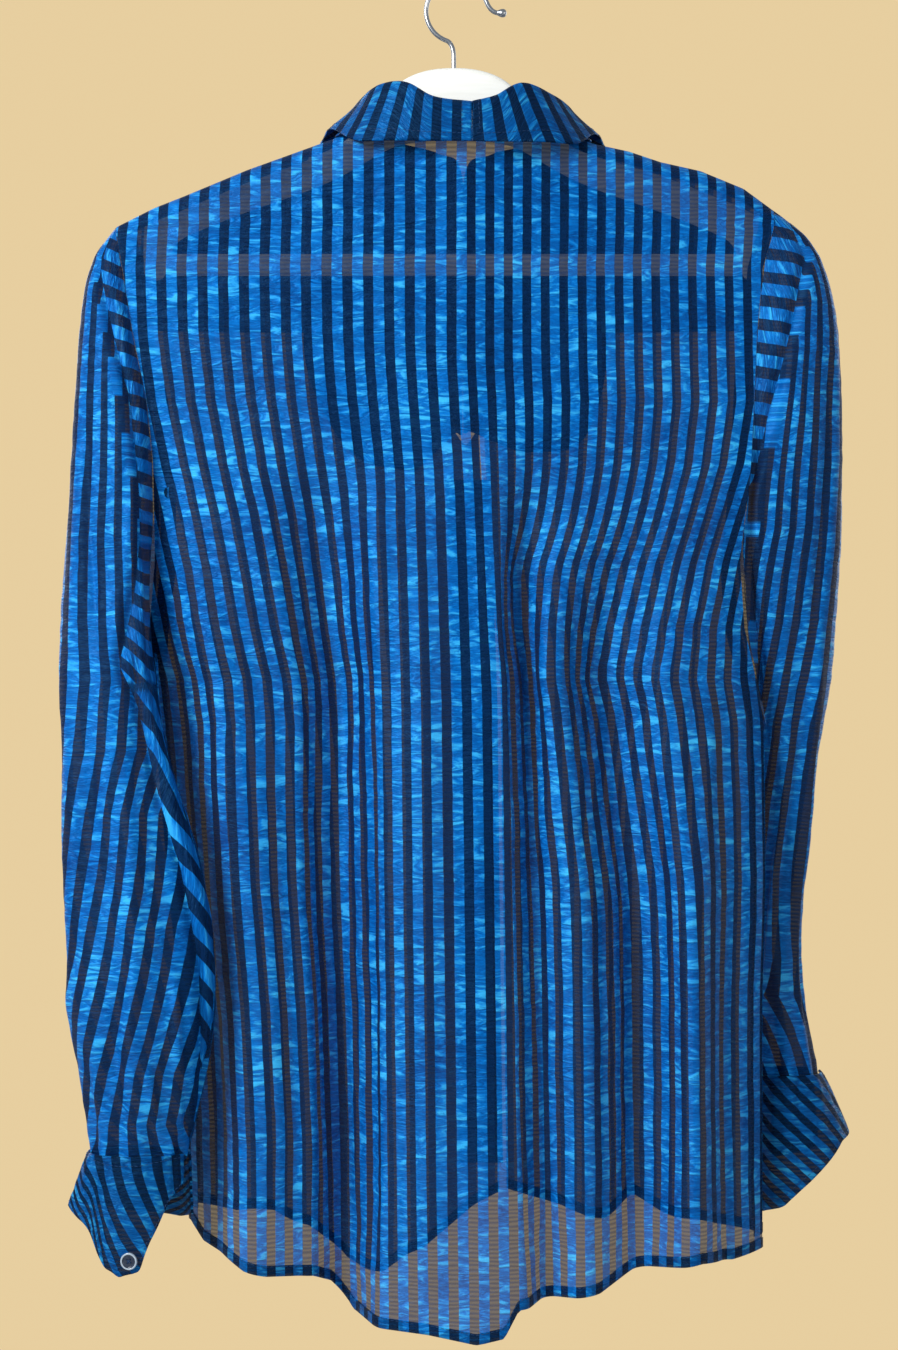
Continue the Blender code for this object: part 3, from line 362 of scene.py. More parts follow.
def sums(tree, operation, first, second):
    """A Math node on two inputs, each a socket or a number."""
    made = tree.nodes.new("ShaderNodeMath")
    made.operation = operation
    for index, value in enumerate((first, second)):
        if isinstance(value, (int, float)):
            made.inputs[index].default_value = value
        else:
            tree.links.new(value, made.inputs[index])
    return made.outputs[0]


def blended(tree, share, first, second):
    """A colour between two colours or sockets."""
    made = tree.nodes.new("ShaderNodeMix")
    made.data_type = "RGBA"
    if isinstance(share, (int, float)):
        made.inputs[0].default_value = share
    else:
        tree.links.new(share, made.inputs[0])
    for index, value in ((6, first), (7, second)):
        if isinstance(value, tuple):
            made.inputs[index].default_value = (*value, 1.0)
        else:
            tree.links.new(value, made.inputs[index])
    return made.outputs[2]


PITCH = 12.2 * MM
# The satin's three colours: painted shade, its own azure, and painted highlight.
SATIN_PAINTED_SHADE_TO_HIGHLIGHT = ((0.0, 0.036, 0.21), (0.002, 0.18, 0.62), (0.05, 0.54, 1.0))
SHEER = (0.001, 0.011, 0.052)


def organza(name, satin_cover, sheer_cover, shift=0.0, turned=False, dim=1.0):
    """Satin and sheer stripes across the piece's own cloth map, crimped crosswise as it is woven, with
    painted highlights and painted shade along the satin's crinkles.
    """
    made, tree, shader = new_finish(name)
    link = tree.links.new
    place = tree.nodes.new("ShaderNodeUVMap")
    place.uv_map = "cloth"
    flat = place.outputs[0]
    if turned:
        other = tree.nodes.new("ShaderNodeUVMap")
        other.uv_map = "band"
        beyond = tree.nodes.new("ShaderNodeAttribute")
        beyond.attribute_name = "fold"
        within = sums(tree, "GREATER_THAN", beyond.outputs["Fac"], 0.0)
        choose = tree.nodes.new("ShaderNodeMix")
        choose.data_type = "VECTOR"
        link(within, choose.inputs[0])
        link(flat, choose.inputs[4])
        link(other.outputs[0], choose.inputs[5])
        flat = choose.outputs[1]
    apart = tree.nodes.new("ShaderNodeSeparateXYZ")
    link(flat, apart.inputs[0])

    def stretched(across, along, detail, twist):
        scale = tree.nodes.new("ShaderNodeMapping")
        scale.inputs["Scale"].default_value = (across, along, 1.0)
        link(flat, scale.inputs[0])
        grain = node(tree, "ShaderNodeTexNoise", Scale=1.0, Detail=detail, Roughness=0.62, Distortion=twist)
        link(scale.outputs[0], grain.inputs["Vector"])
        return grain.outputs["Fac"]

    waver = stretched(60.0, 90.0, 2.0, 0.0)
    crinkle = stretched(38.0, 165.0, 4.0, 0.8)
    fine = stretched(210.0, 900.0, 2.0, 0.5)
    patches = stretched(14.0, 22.0, 2.0, 0.4)
    yarns = stretched(3200.0, 160.0, 1.0, 0.0)
    edge = sums(tree, "MULTIPLY", sums(tree, "SUBTRACT", waver, 0.5), 0.0008)
    turns = sums(tree, "DIVIDE", sums(tree, "ADD", apart.outputs["X"], edge), PITCH)
    saw = sums(tree, "FRACT", sums(tree, "ADD", turns, 100.5 + shift), 0.0)
    off = sums(tree, "ABSOLUTE", sums(tree, "SUBTRACT", saw, 0.5), 0.0)
    stripe = tree.nodes.new("ShaderNodeMapRange")
    stripe.interpolation_type = "SMOOTHSTEP"
    link(off, stripe.inputs["Value"])
    for key, value in (("From Min", 0.245), ("From Max", 0.275), ("To Min", 1.0), ("To Max", 0.0)):
        stripe.inputs[key].default_value = value
    satin = stripe.outputs[0]

    ridge = sums(tree, "MULTIPLY", sums(tree, "ABSOLUTE", sums(tree, "SUBTRACT", crinkle, 0.5), 0.0), 6.5)
    ridge = sums(tree, "MINIMUM", ridge, 1.0)
    # Painted highlight and painted shade: the crinkle ridges and the fine and broad noise pick the satin's
    # colour from dark to bright.
    painted_crinkle_light = sums(tree, "ADD", sums(tree, "MULTIPLY", ridge, 0.34), sums(tree, "MULTIPLY", fine, 0.22))
    painted_crinkle_light = sums(tree, "ADD", painted_crinkle_light, sums(tree, "MULTIPLY", patches, 0.44))
    ramp = tree.nodes.new("ShaderNodeValToRGB")
    ramp.color_ramp.elements[0].position = 0.22
    ramp.color_ramp.elements[1].position = 0.76
    middle = ramp.color_ramp.elements.new(0.50)
    for stop, colour in zip((ramp.color_ramp.elements[0], middle, ramp.color_ramp.elements[2]), SATIN_PAINTED_SHADE_TO_HIGHLIGHT):
        stop.color = (*[part * dim for part in colour], 1.0)
    link(painted_crinkle_light, ramp.inputs[0])

    moire = node(tree, "ShaderNodeTexWave", Scale=1.0, Distortion=5.0, Detail=2.0)
    moire.bands_direction = "Y"
    rings = tree.nodes.new("ShaderNodeMapping")
    rings.inputs["Scale"].default_value = (30.0, 120.0, 1.0)
    link(flat, rings.inputs[0])
    link(rings.outputs[0], moire.inputs["Vector"])
    thin = blended(tree, sums(tree, "MULTIPLY", moire.outputs["Fac"], 0.45), tuple(p * dim for p in SHEER),
                   tuple(p * 1.7 * dim for p in SHEER))
    cloth = blended(tree, satin, thin, ramp.outputs[0])
    threads = sums(tree, "ADD", 0.86, sums(tree, "MULTIPLY", yarns, 0.28))
    tint = tree.nodes.new("ShaderNodeVectorMath")
    tint.operation = "SCALE"
    link(cloth, tint.inputs[0])
    link(threads, tint.inputs["Scale"])
    link(tint.outputs[0], shader.inputs["Base Color"])

    sheer = sums(tree, "ADD", sheer_cover - 0.05, sums(tree, "MULTIPLY", moire.outputs["Fac"], 0.10))
    part = sums(tree, "MULTIPLY", sums(tree, "SUBTRACT", 1.0, satin), sheer)
    cover = sums(tree, "ADD", part, sums(tree, "MULTIPLY", satin, satin_cover))
    link(cover, shader.inputs["Alpha"])
    rough = sums(tree, "SUBTRACT", 0.52, sums(tree, "MULTIPLY", satin, 0.16))
    link(rough, shader.inputs["Roughness"])
    height = sums(tree, "ADD", sums(tree, "MULTIPLY", ridge, 0.5), sums(tree, "MULTIPLY", fine, 0.35))
    height = sums(tree, "ADD", height, sums(tree, "MULTIPLY", satin, 0.18))
    bump = node(tree, "ShaderNodeBump", Strength=0.85, Distance=0.0013)
    link(height, bump.inputs["Height"])
    link(bump.outputs[0], shader.inputs["Normal"])
    shader.inputs["Specular IOR Level"].default_value = 0.42
    shader.inputs["Specular Tint"].default_value = (0.10, 0.48, 1.0, 1.0)
    shader.inputs["Sheen Weight"].default_value = 0.05
    shader.inputs["Sheen Roughness"].default_value = 0.35
    shader.inputs["Sheen Tint"].default_value = (0.05, 0.40, 1.0, 1.0)
    return made


def finished(piece, material, slot, *solids):
    """Gives a piece its finish, its body, and the solids that it stands for."""
    piece.data.materials.clear()
    piece.data.materials.append(material)
    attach(piece, "root")
    if solids:
        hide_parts(*solids)
    return piece


def top_of(panel, threads):
    depth = np.full(len(threads), 120.0)
    for _ in range(14):
        depth = top_depth(level_at(panel, threads, depth)[0])
    return depth


def foot_of(panel, hem, threads):
    return plain(hem, 1, level_at(panel, threads, np.full(len(threads), 800.0))[0])


def stay_behind(grid):
    """Keeps the back's cloth behind the seam's plane."""
    grid[..., 1] = np.minimum(grid[..., 1], -0.5 * SEAM_GAP)
    return grid


BACK_CREASES = (  # cloth across, depth, cloth across, depth, half width, height
    (-190.0, 250.0, -120.0, 420.0, 9.0, 1.6), (-196.0, 300.0, -150.0, 460.0, 7.0, -1.8),
    (-200.0, 380.0, -168.0, 560.0, 8.0, 2.0), (-175.0, 200.0, -60.0, 300.0, 12.0, 0.9),
    (188.0, 240.0, 130.0, 420.0, 9.0, 1.5), (196.0, 320.0, 150.0, 470.0, 7.0, -1.6),
    (206.0, 400.0, 176.0, 600.0, 8.0, 2.2), (160.0, 190.0, 70.0, 290.0, 12.0, 0.8),
    (-30.0, 330.0, -26.0, 640.0, 9.0, 1.4), (8.0, 420.0, 14.0, 760.0, 8.0, -1.5),
    (-98.0, 520.0, -92.0, 790.0, 5.0, 1.6), (-134.0, 560.0, -140.0, 790.0, 7.0, 1.9),
    (84.0, 520.0, 90.0, 800.0, 7.0, 1.5), (128.0, 480.0, 122.0, 760.0, 8.0, -1.7),
    (168.0, 560.0, 176.0, 780.0, 7.0, 1.8), (-60.0, 150.0, -20.0, 250.0, 10.0, 0.7),
    (60.0, 145.0, 30.0, 250.0, 10.0, -0.7), (-215.0, 470.0, -205.0, 760.0, 7.0, -2.0),
    (214.0, 500.0, 208.0, 770.0, 7.0, -1.9), (40.0, 600.0, 52.0, 820.0, 6.0, 1.3),
    (-38.0, 330.0, -34.0, 860.0, 15.0, 4.5), (-68.0, 400.0, -72.0, 860.0, 11.0, -4.0),
    (22.0, 320.0, 28.0, 860.0, 10.0, -4.0), (60.0, 430.0, 64.0, 840.0, 12.0, 3.0),
    (-160.0, 440.0, -158.0, 800.0, 12.0, 3.5), (150.0, 460.0, 146.0, 800.0, 13.0, -3.2),
    (110.0, 500.0, 104.0, 820.0, 9.0, 2.6), (-120.0, 420.0, -116.0, 800.0, 9.0, -2.8),
)
threads = np.linspace(-1.0, 1.0, 217)
tops = top_of(BACK, threads)
feet = foot_of(BACK, BACK_HEM, threads)
grid, flat = body_sheet(back_point, threads, tops, feet - 0.5, 300, BACK_CREASES, 3, False)
back = sheet_mesh("back_cloth", stay_behind(grid), {"cloth": flat})
single = organza("striped_organza", 0.955, 0.82)
finished(back, single, "azure_organza", "back_panel")


# Back hem: the panel's edge is turned up twice and stitched, a narrow band that reads darker because
# three layers lie on each other. The machine stitches run along its upper fold.
def hem_band(name, point, panel, threads, hem, flip, keep):
    """A doubled band along a panel's foot, following every fold of the panel."""
    feet = foot_of(panel, hem, threads)
    depth = feet - HEM_WIDTH + (HEM_WIDTH + 0.6) * np.linspace(0.0, 1.0, 4)[:, None]
    thread = np.broadcast_to(threads, depth.shape)
    grid = point(thread, depth)
    skin = normals_of(grid)
    out = grid + skin * 0.55
    back_skin = grid - skin * 0.55
    lip = grid[-1:] + np.array([0.0, 0.0, -0.5])
    ring = keep(np.concatenate([out, lip, back_skin[::-1]]))
    cloth = thread * plain(SIDE_SEAMS, 3, depth)
    flat = np.stack([cloth, -depth], axis=-1)
    return sheet_mesh(name, ring, {"cloth": np.concatenate([flat, flat[-1:], flat[::-1]])}, flip=flip)


def stitch_row(name, line, facing, length=2.2, gap=0.9, thick=0.16):
    """Machine stitches laid along a line of places: short rounded bars of thread."""
    line = np.asarray(line)
    facing = np.broadcast_to(np.asarray(facing, float), line.shape)
    run = np.concatenate([[0.0], np.cumsum(np.linalg.norm(np.diff(line, axis=0), axis=1))])
    verts, faces = [], []
    at = 0.5 * gap
    while at + length < run[-1]:
        ends = [np.array([np.interp(x, run, line[:, k]) for k in range(3)]) for x in (at, at + length)]
        out = np.array([np.interp(at, run, facing[:, k]) for k in range(3)])
        ahead = ends[1] - ends[0]
        ahead = ahead / max(np.linalg.norm(ahead), 1e-9)
        beside = np.cross(ahead, out)
        first = len(verts)
        for share, wide in ((0.0, 0.35), (0.18, 1.0), (0.82, 1.0), (1.0, 0.35)):
            middle = ends[0] + (ends[1] - ends[0]) * share
            for a, b in ((1, 0), (0, 1), (-1, 0), (0, -1)):
                verts.append((middle + beside * thick * wide * a + out * thick * wide * b) * MM)
        for ring in range(3):
            for k in range(4):
                a = first + ring * 4 + k
                b = first + ring * 4 + (k + 1) % 4
                faces.append((a, b, b + 4, a + 4))
        faces.append((first + 3, first + 2, first + 1, first))
        faces.append((first + 12, first + 13, first + 14, first + 15))
        at += length + gap
    mesh = bpy.data.meshes.new(name)
    mesh.from_pydata([tuple(v) for v in verts], [], faces)
    made = bmesh.new()
    made.from_mesh(mesh)
    bmesh.ops.recalc_face_normals(made, faces=made.faces)
    made.to_mesh(mesh)
    made.free()
    mesh.shade_smooth()
    piece = bpy.data.objects.new(name, mesh)
    scene.collection.objects.link(piece)
    return piece


def mottle(tree, **sockets):
    """Fine uneven marks through a whole piece."""
    where = tree.nodes.new("ShaderNodeTexCoord")
    marks = node(tree, "ShaderNodeTexNoise", **sockets)
    tree.links.new(where.outputs["Object"], marks.inputs["Vector"])
    return marks.outputs["Fac"]


def sewing_thread():
    made, tree, shader = new_finish("sewing_thread")
    twist = mottle(tree, Scale=2600.0, Detail=1.0)
    navy = blended(tree, twist, (0.004, 0.03, 0.10), (0.01, 0.07, 0.22))
    tree.links.new(navy, shader.inputs["Base Color"])
    shader.inputs["Roughness"].default_value = 0.55
    return made


doubled = organza("doubled_organza", 0.985, 0.90, dim=0.60)
navy_thread = sewing_thread()
hem_back = hem_band("hem_back_cloth", back_point, BACK, threads, BACK_HEM, False, stay_behind)
finished(hem_back, doubled, "hem_navy", "hem_back")
line = back_point(threads, feet - HEM_WIDTH + 0.6)
back_stitches = stitch_row("hem_back_stitches", line + np.array([0.0, -0.75, 0.0]), (0.0, -1.0, 0.0))
finished(back_stitches, navy_thread, "hem_navy")


# Hanger: a flat white-painted wooden arm with a broad rounded middle, a round trouser bar between its
# ends and a bright wire hook screwed into its top. The solids' copies are merged and rounded here.
def pick(piece):
    """Selects one piece alone."""
    bpy.ops.object.select_all(action="DESELECT")
    piece.select_set(True)
    bpy.context.view_layer.objects.active = piece


def round_edges(piece, width):
    edge = piece.modifiers.new("edge", "BEVEL")
    edge.width = width
    edge.segments = 3
    bpy.ops.object.modifier_apply(modifier="edge")


def rounded_copy(name, solid, levels):
    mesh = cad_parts[solid].data.copy()
    piece = bpy.data.objects.new(name, mesh)
    scene.collection.objects.link(piece)
    made = bmesh.new()
    made.from_mesh(mesh)
    bmesh.ops.remove_doubles(made, verts=made.verts, dist=0.00002)
    bmesh.ops.join_triangles(made, faces=made.faces, angle_face_threshold=0.9, angle_shape_threshold=2.2)
    made.to_mesh(mesh)
    made.free()
    pick(piece)
    if levels:
        rounder = piece.modifiers.new("rounder", "SUBSURF")
        rounder.levels = levels
        rounder.render_levels = levels
        bpy.ops.object.modifier_apply(modifier="rounder")
    bpy.ops.object.shade_smooth_by_angle(angle=math.radians(50.0))
    return piece


def white_paint():
    made, tree, shader = new_finish("white_paint_on_wood_with_painted_glow")
    where = tree.nodes.new("ShaderNodeTexCoord")
    scale = tree.nodes.new("ShaderNodeMapping")
    scale.inputs["Scale"].default_value = (40.0, 400.0, 400.0)
    tree.links.new(where.outputs["Object"], scale.inputs[0])
    grain = node(tree, "ShaderNodeTexNoise", Scale=1.0, Detail=4.0, Distortion=0.6)
    tree.links.new(scale.outputs[0], grain.inputs["Vector"])
    tree.links.new(blended(tree, grain.outputs["Fac"], (0.74, 0.72, 0.64), (0.90, 0.88, 0.81)),
                   shader.inputs["Base Color"])
    bump = node(tree, "ShaderNodeBump", Strength=0.2, Distance=0.0003)
    tree.links.new(grain.outputs["Fac"], bump.inputs["Height"])
    tree.links.new(bump.outputs[0], shader.inputs["Normal"])
    shader.inputs["Roughness"].default_value = 0.42
    # Painted glow: the paint gives off a faint light of its own, which lifts the bar and the arms where they
    # show through the cloth.
    shader.inputs["Emission Color"].default_value = (0.95, 0.97, 1.0, 1.0)
    shader.inputs["Emission Strength"].default_value = 0.16
    return made


paint = white_paint()
arms = rounded_copy("hanger_arms_painted", "hanger_arms", 2)
finished(arms, paint, "white_paint", "hanger_arms")
bar = rounded_copy("hanger_bar_painted", "hanger_bar", 0)
pick(bar)
round_edges(bar, 0.0008)
bpy.ops.object.shade_smooth_by_angle(angle=math.radians(50.0))
finished(bar, paint, "white_paint", "hanger_bar")


def bright_wire():
    made, tree, shader = new_finish("bright_drawn_wire")
    marks = mottle(tree, Scale=900.0, Detail=3.0)
    tree.links.new(blended(tree, marks, (0.42, 0.44, 0.47), (0.70, 0.72, 0.75)), shader.inputs["Base Color"])
    tree.links.new(sums(tree, "ADD", 0.18, sums(tree, "MULTIPLY", marks, 0.16)), shader.inputs["Roughness"])
    shader.inputs["Metallic"].default_value = 1.0
    return made


WIRE_RADIUS = 1.45
HOOK_RADIUS = 19.4
HOOK_STEM = ((-2.0, -56.0), (-2.0, -46.0), (-2.1, -41.5))
HOOK_END = (
    (20.2, -15.6), (22.6, -18.0), (24.6, -18.7), (25.4, -18.8), (26.2, -18.85), (27.4, -18.9),
    (28.8, -18.95), (30.0, -19.0), (30.7, -19.0), (31.0, -19.0),
)
HOOK_TIP = (1.0, 1.0, 1.35, 1.75, 1.85, 1.7, 1.1, 0.35)  # the wire's radius where its end swells to a ball
turn = np.radians(np.linspace(256.0, 16.0, 33))
arc = np.stack([HOOK_RADIUS * np.cos(turn), WIRE_RADIUS - HOOK_RADIUS + HOOK_RADIUS * np.sin(turn)], axis=-1)
path = np.concatenate([HOOK_STEM, arc, HOOK_END]) * MM
bpy.ops.object.select_all(action="DESELECT")
bpy.ops.curve.primitive_nurbs_path_add(radius=0.01)
hook = bpy.context.object
hook.name = "hanger_hook_wire"
hook.data.splines.remove(hook.data.splines[0])
wire = hook.data.splines.new("NURBS")
wire.points.add(len(path) - 1)
wire.points.foreach_set("co", [part for across, up in path for part in (across, 0.0, up, 1.0)])
for point, wider in zip(wire.points[-len(HOOK_TIP):], HOOK_TIP):
    point.radius = wider
wire.use_endpoint_u = True
wire.order_u = 4
wire.resolution_u = 4
hook.data.bevel_depth = WIRE_RADIUS * MM
hook.data.bevel_resolution = 5
hook.data.use_fill_caps = True
bpy.ops.object.convert(target="MESH")
bpy.ops.object.shade_smooth_by_angle(angle=math.radians(60.0))
wire_finish = bright_wire()
finished(hook, wire_finish, "bright_wire", "hanger_hook")


# Fronts: two panels of the same organza, sewn to the back at the shoulders and sides, with a low neck.
# They hang behind the back as the camera sees it, so their stripes cross the back's in slow beats.
FRONT_LEFT_FOLDS = (  # thread, half width, top, full depth, degrees, slant per 100 mm
    (58.0, 22.0, 300.0, 520.0, 46.0, 1.0), (98.0, 22.0, 300.0, 520.0, -48.0, 1.0),
    (142.0, 24.0, 240.0, 460.0, 40.0, -1.5), (186.0, 22.0, 240.0, 460.0, -34.0, -1.5),
)
FRONT_RIGHT_FOLDS = (
    (66.0, 24.0, 320.0, 560.0, 44.0, 0.8), (110.0, 22.0, 320.0, 560.0, -46.0, 0.8),
    (152.0, 22.0, 260.0, 480.0, 42.0, -1.0), (192.0, 20.0, 260.0, 480.0, -34.0, -1.0),
)
FRONT_HEM = (  # across, depth
    (-166.0, 762.0), (-139.0, 772.0), (-115.0, 770.0), (-93.0, 779.0), (-70.0, 804.0),
    (-47.0, 809.0), (-22.0, 801.0), (11.0, 774.0), (32.0, 763.0), (72.0, 774.0),
    (93.0, 774.0), (113.0, 764.0), (139.0, 773.0), (165.0, 780.0), (191.0, 781.0),
)
NECKLINE_FOOT = 286.0
PLACKET_HALF = 14.0
PLACKET_LAP = 2.4
FRONT_CREASES = (  # cloth across, depth, cloth across, depth, half width, height
    (-188.0, 250.0, -120.0, 430.0, 9.0, 1.5), (-205.0, 390.0, -172.0, 580.0, 8.0, 1.8),
    (190.0, 260.0, 126.0, 430.0, 9.0, 1.5), (204.0, 400.0, 178.0, 600.0, 8.0, 1.9),
    (-120.0, 200.0, -60.0, 330.0, 11.0, 0.9), (120.0, 200.0, 66.0, 330.0, 11.0, 0.9),
    (-40.0, 380.0, -34.0, 720.0, 8.0, 1.4), (46.0, 360.0, 40.0, 700.0, 8.0, -1.3),
    (-130.0, 540.0, -138.0, 760.0, 7.0, 1.8), (132.0, 560.0, 126.0, 750.0, 7.0, 1.7),
    (-80.0, 500.0, -74.0, 790.0, 6.0, -1.4), (90.0, 520.0, 84.0, 780.0, 6.0, 1.4),
)
FRONT = panel_levels(1, FRONT_LEFT_FOLDS, FRONT_RIGHT_FOLDS)


def front_point(thread, depth):
    """Places on the fronts' surface, in millimetres."""
    across, away = level_at(FRONT, thread, depth)
    start = 0.5 * SEAM_GAP
    away = start + (away - start) * over_shoulder(depth - top_depth(across))
    return np.stack([across, np.maximum(away, 0.5 * SEAM_GAP), -depth], axis=-1)


def neckline_depth(across):
    """Depth of the V-shaped neckline at places across the fronts."""
    middle = plain(CENTRE_THREAD, 1, NECKLINE_FOOT)
    left = across < middle
    share = np.where(left, (middle - across) / (middle - NECK[0]), (across - middle) / (NECK[1] - middle))
    side = np.where(left, 98.0, 101.0)
    return side + (NECKLINE_FOOT - side) * (1.0 - np.clip(share, 0.0, 1.0) ** 1.25)


def front_top(threads):
    depth = np.full(len(threads), 120.0)
    for _ in range(60):
        across = level_at(FRONT, threads, depth)[0]
        shoulder = (across <= NECK[0]) | (across >= NECK[1])
        depth = depth + 0.5 * (np.where(shoulder, top_depth(across), neckline_depth(across)) - depth)
    return depth


def placket_edge(side):
    inset = PLACKET_LAP if side > 0 else -PLACKET_LAP
    middle = plain(CENTRE_THREAD, 1, 500.0)
    return float(thread_at(FRONT, np.array([middle + PLACKET_HALF + inset]), np.array([500.0]))[0])


def stay_before(grid):
    """Keeps the fronts' cloth before the seam's plane."""
    grid[..., 1] = np.maximum(grid[..., 1], 0.5 * SEAM_GAP)
    return grid


front = organza("striped_organza_front", 0.955, 0.84, shift=0.5)
for side, name in ((-1, "left"), (1, "right")):
    edge_thread = placket_edge(side)
    ends = (-1.0, edge_thread) if side < 0 else (edge_thread, 1.0)
    threads = np.linspace(*ends, 112)
    tops = front_top(threads)
    feet = foot_of(FRONT, FRONT_HEM, threads)
    grid, flat = body_sheet(front_point, threads, tops, feet - 0.5, 260, FRONT_CREASES, 11 + side, True)
    panel = sheet_mesh(f"front_{name}_cloth", stay_before(grid), {"cloth": flat}, flip=True)
    finished(panel, front, "azure_organza", f"front_{name}")
    band = hem_band(f"hem_front_{name}_cloth", front_point, FRONT, threads, FRONT_HEM, True, stay_before)
    finished(band, doubled, "hem_navy", f"hem_front_{name}")


# Yokes: the fronts are doubled from the shoulder to a level edge below the armholes' middle. The edge
# shows through the back as a line on either side, with a deeper colour above it.
YOKE_FOOT = 216.0
YOKE_SPAN = (0.26, 0.97)
for side, name in ((-1, "left"), (1, "right")):
    threads = np.sort(side * np.linspace(*YOKE_SPAN, 80))
    tops = front_top(threads) + SHOULDER_ROLL + 3.0
    share = np.linspace(0.0, 1.0, 60)[:, None]
    depth = tops + (YOKE_FOOT - tops) * share
    thread = np.broadcast_to(threads, depth.shape)
    grid = front_point(thread, depth)
    cloth = thread * plain(SIDE_SEAMS, 3, depth)
    skin = normals_of(grid)
    inward = np.where(skin[..., 1:2] > 0.0, -1.0, 1.0)
    lift = 0.8 * crimp(cloth, depth, 30.0, 20.0, 31 + side)
    grid = stay_before(grid + skin * inward * (1.6 + lift[..., None]))
    flat = np.stack([cloth, -depth], axis=-1)
    yoke = sheet_mesh(f"front_yoke_{name}_cloth", grid, {"cloth": flat}, flip=True)
    finished(yoke, single, "azure_organza", f"front_yoke_{name}")


# Placket: a folded strip down the fronts' edge, with two rows of stitches and six small dark buttons
# with pale rims, sewn on through four holes. The fronts overlap under it.
PLACKET_RISE = 1.8
PLACKET_TOP = 308.0
PLACKET_FOOT = 748.0
depth = np.linspace(PLACKET_TOP, PLACKET_FOOT, 180)[:, None] * np.ones((1, 15))
middle = plain(CENTRE_THREAD, 1, depth)
aside = np.linspace(-PLACKET_HALF, PLACKET_HALF, 15)[None, :] * np.ones_like(depth)
thread = thread_at(FRONT, middle + aside, depth)
grid = front_point(thread, depth)
skin = normals_of(grid)
outward = np.where(skin[..., 1:2] > 0.0, 1.0, -1.0)
puff = 0.3 * crimp(aside, depth, 9.0, 12.0, 5)
outer = grid + skin * outward * (PLACKET_RISE + 0.5 + puff[..., None])
inner = grid + skin * outward * (PLACKET_RISE - 0.5)
strip = np.concatenate([outer, inner[:, ::-1]], axis=1)
cloth = np.stack([aside, -depth], axis=-1)
cloth = np.concatenate([cloth, cloth[:, ::-1], cloth[:, :1]], axis=1)
placket = sheet_mesh("front_placket_cloth", strip, {"cloth": cloth}, around=True, flip=True)
finished(placket, doubled, "azure_organza", "front_placket")
placket_stitches = []
for column, name in ((2, "left"), (12, "right")):
    line = outer[:, column] + skin[:, column] * outward[:, column] * 0.1
    facing = skin[:, column] * outward[:, column]
    placket_stitches.append(stitch_row(f"placket_stitches_{name}", line, facing))
    finished(placket_stitches[-1], navy_thread, "hem_navy")


def button_shell():
    made, tree, shader = new_finish("dark_shell_button")
    rim = tree.nodes.new("ShaderNodeUVMap")
    rim.uv_map = "round"
    apart = tree.nodes.new("ShaderNodeSeparateXYZ")
    tree.links.new(rim.outputs[0], apart.inputs[0])
    swirl = mottle(tree, Scale=260.0, Detail=3.0, Distortion=1.2)
    dark = blended(tree, swirl, (0.006, 0.012, 0.03), (0.05, 0.065, 0.10))
    pale = blended(tree, swirl, (0.30, 0.38, 0.46), (0.55, 0.62, 0.68))
    outer = sums(tree, "GREATER_THAN", apart.outputs["X"], 0.80)
    tree.links.new(blended(tree, outer, dark, pale), shader.inputs["Base Color"])
    shader.inputs["Roughness"].default_value = 0.22
    shader.inputs["Coat Weight"].default_value = 0.5
    return made


BUTTON_RADIUS = 5.1
BUTTON_THICK = 2.1
HOLE_RADIUS = 0.55
HOLE_AWAY = 1.35  # from the button's middle


def turned_button():
    """The one button that the others copy: a raised rim, a dished face and four holes."""
    bpy.ops.object.select_all(action="DESELECT")
    bpy.ops.mesh.primitive_cylinder_add(vertices=48, radius=BUTTON_RADIUS * MM, depth=BUTTON_THICK * MM)
    piece = bpy.context.object
    piece.name = "front_button_1_turned"
    bpy.ops.object.mode_set(mode="EDIT")
    made = bmesh.from_edit_mesh(piece.data)
    for face in made.faces:
        face.select_set(face.normal.z > 0.9)
    bpy.ops.mesh.inset(thickness=0.0010)
    bpy.ops.mesh.inset(thickness=0.0005)
    bpy.ops.transform.translate(value=(0.0, 0.0, -0.0008))
    bpy.ops.object.mode_set(mode="OBJECT")
    round_edges(piece, 0.00035)
    for index in range(4):
        angle = math.radians(45.0 + 90.0 * index)
        bpy.ops.object.select_all(action="DESELECT")
        bpy.ops.mesh.primitive_cylinder_add(
            vertices=16, radius=HOLE_RADIUS * MM, depth=6.0 * MM,
            location=(HOLE_AWAY * MM * math.cos(angle), HOLE_AWAY * MM * math.sin(angle), 0.0))
        drill = bpy.context.object
        pick(piece)
        hole = piece.modifiers.new("hole", "BOOLEAN")
        hole.operation = "DIFFERENCE"
        hole.object = drill
        bpy.ops.object.modifier_apply(modifier="hole")
        bpy.data.objects.remove(drill, do_unlink=True)
    pick(piece)
    bpy.ops.object.shade_smooth_by_angle(angle=math.radians(35.0))
    for layer in list(piece.data.uv_layers):
        piece.data.uv_layers.remove(layer)
    layer = piece.data.uv_layers.new(name="round")
    for loop in piece.data.loops:
        spot = piece.data.vertices[loop.vertex_index].co
        spot = spot / (BUTTON_RADIUS * MM)
        layer.data[loop.index].uv = (spot.xy.length, spot.z + 0.5)
    cross = [(-0.6, -0.6, 0.85), (0.6, 0.6, 0.85)]
    cross = [(-HOLE_AWAY, -HOLE_AWAY, 0.45), *cross, (HOLE_AWAY, HOLE_AWAY, 0.45)]
    threads = []
    for label, way in (("a", 1.0), ("b", -1.0)):
        line = np.array([(way * x, y, z) for x, y, z in cross])
        threads.append(stitch_row(f"front_button_1_thread_{label}", line, (0.0, 0.0, 1.0),
                                  length=3.5, gap=0.1, thick=0.24))
    return [piece, *threads]


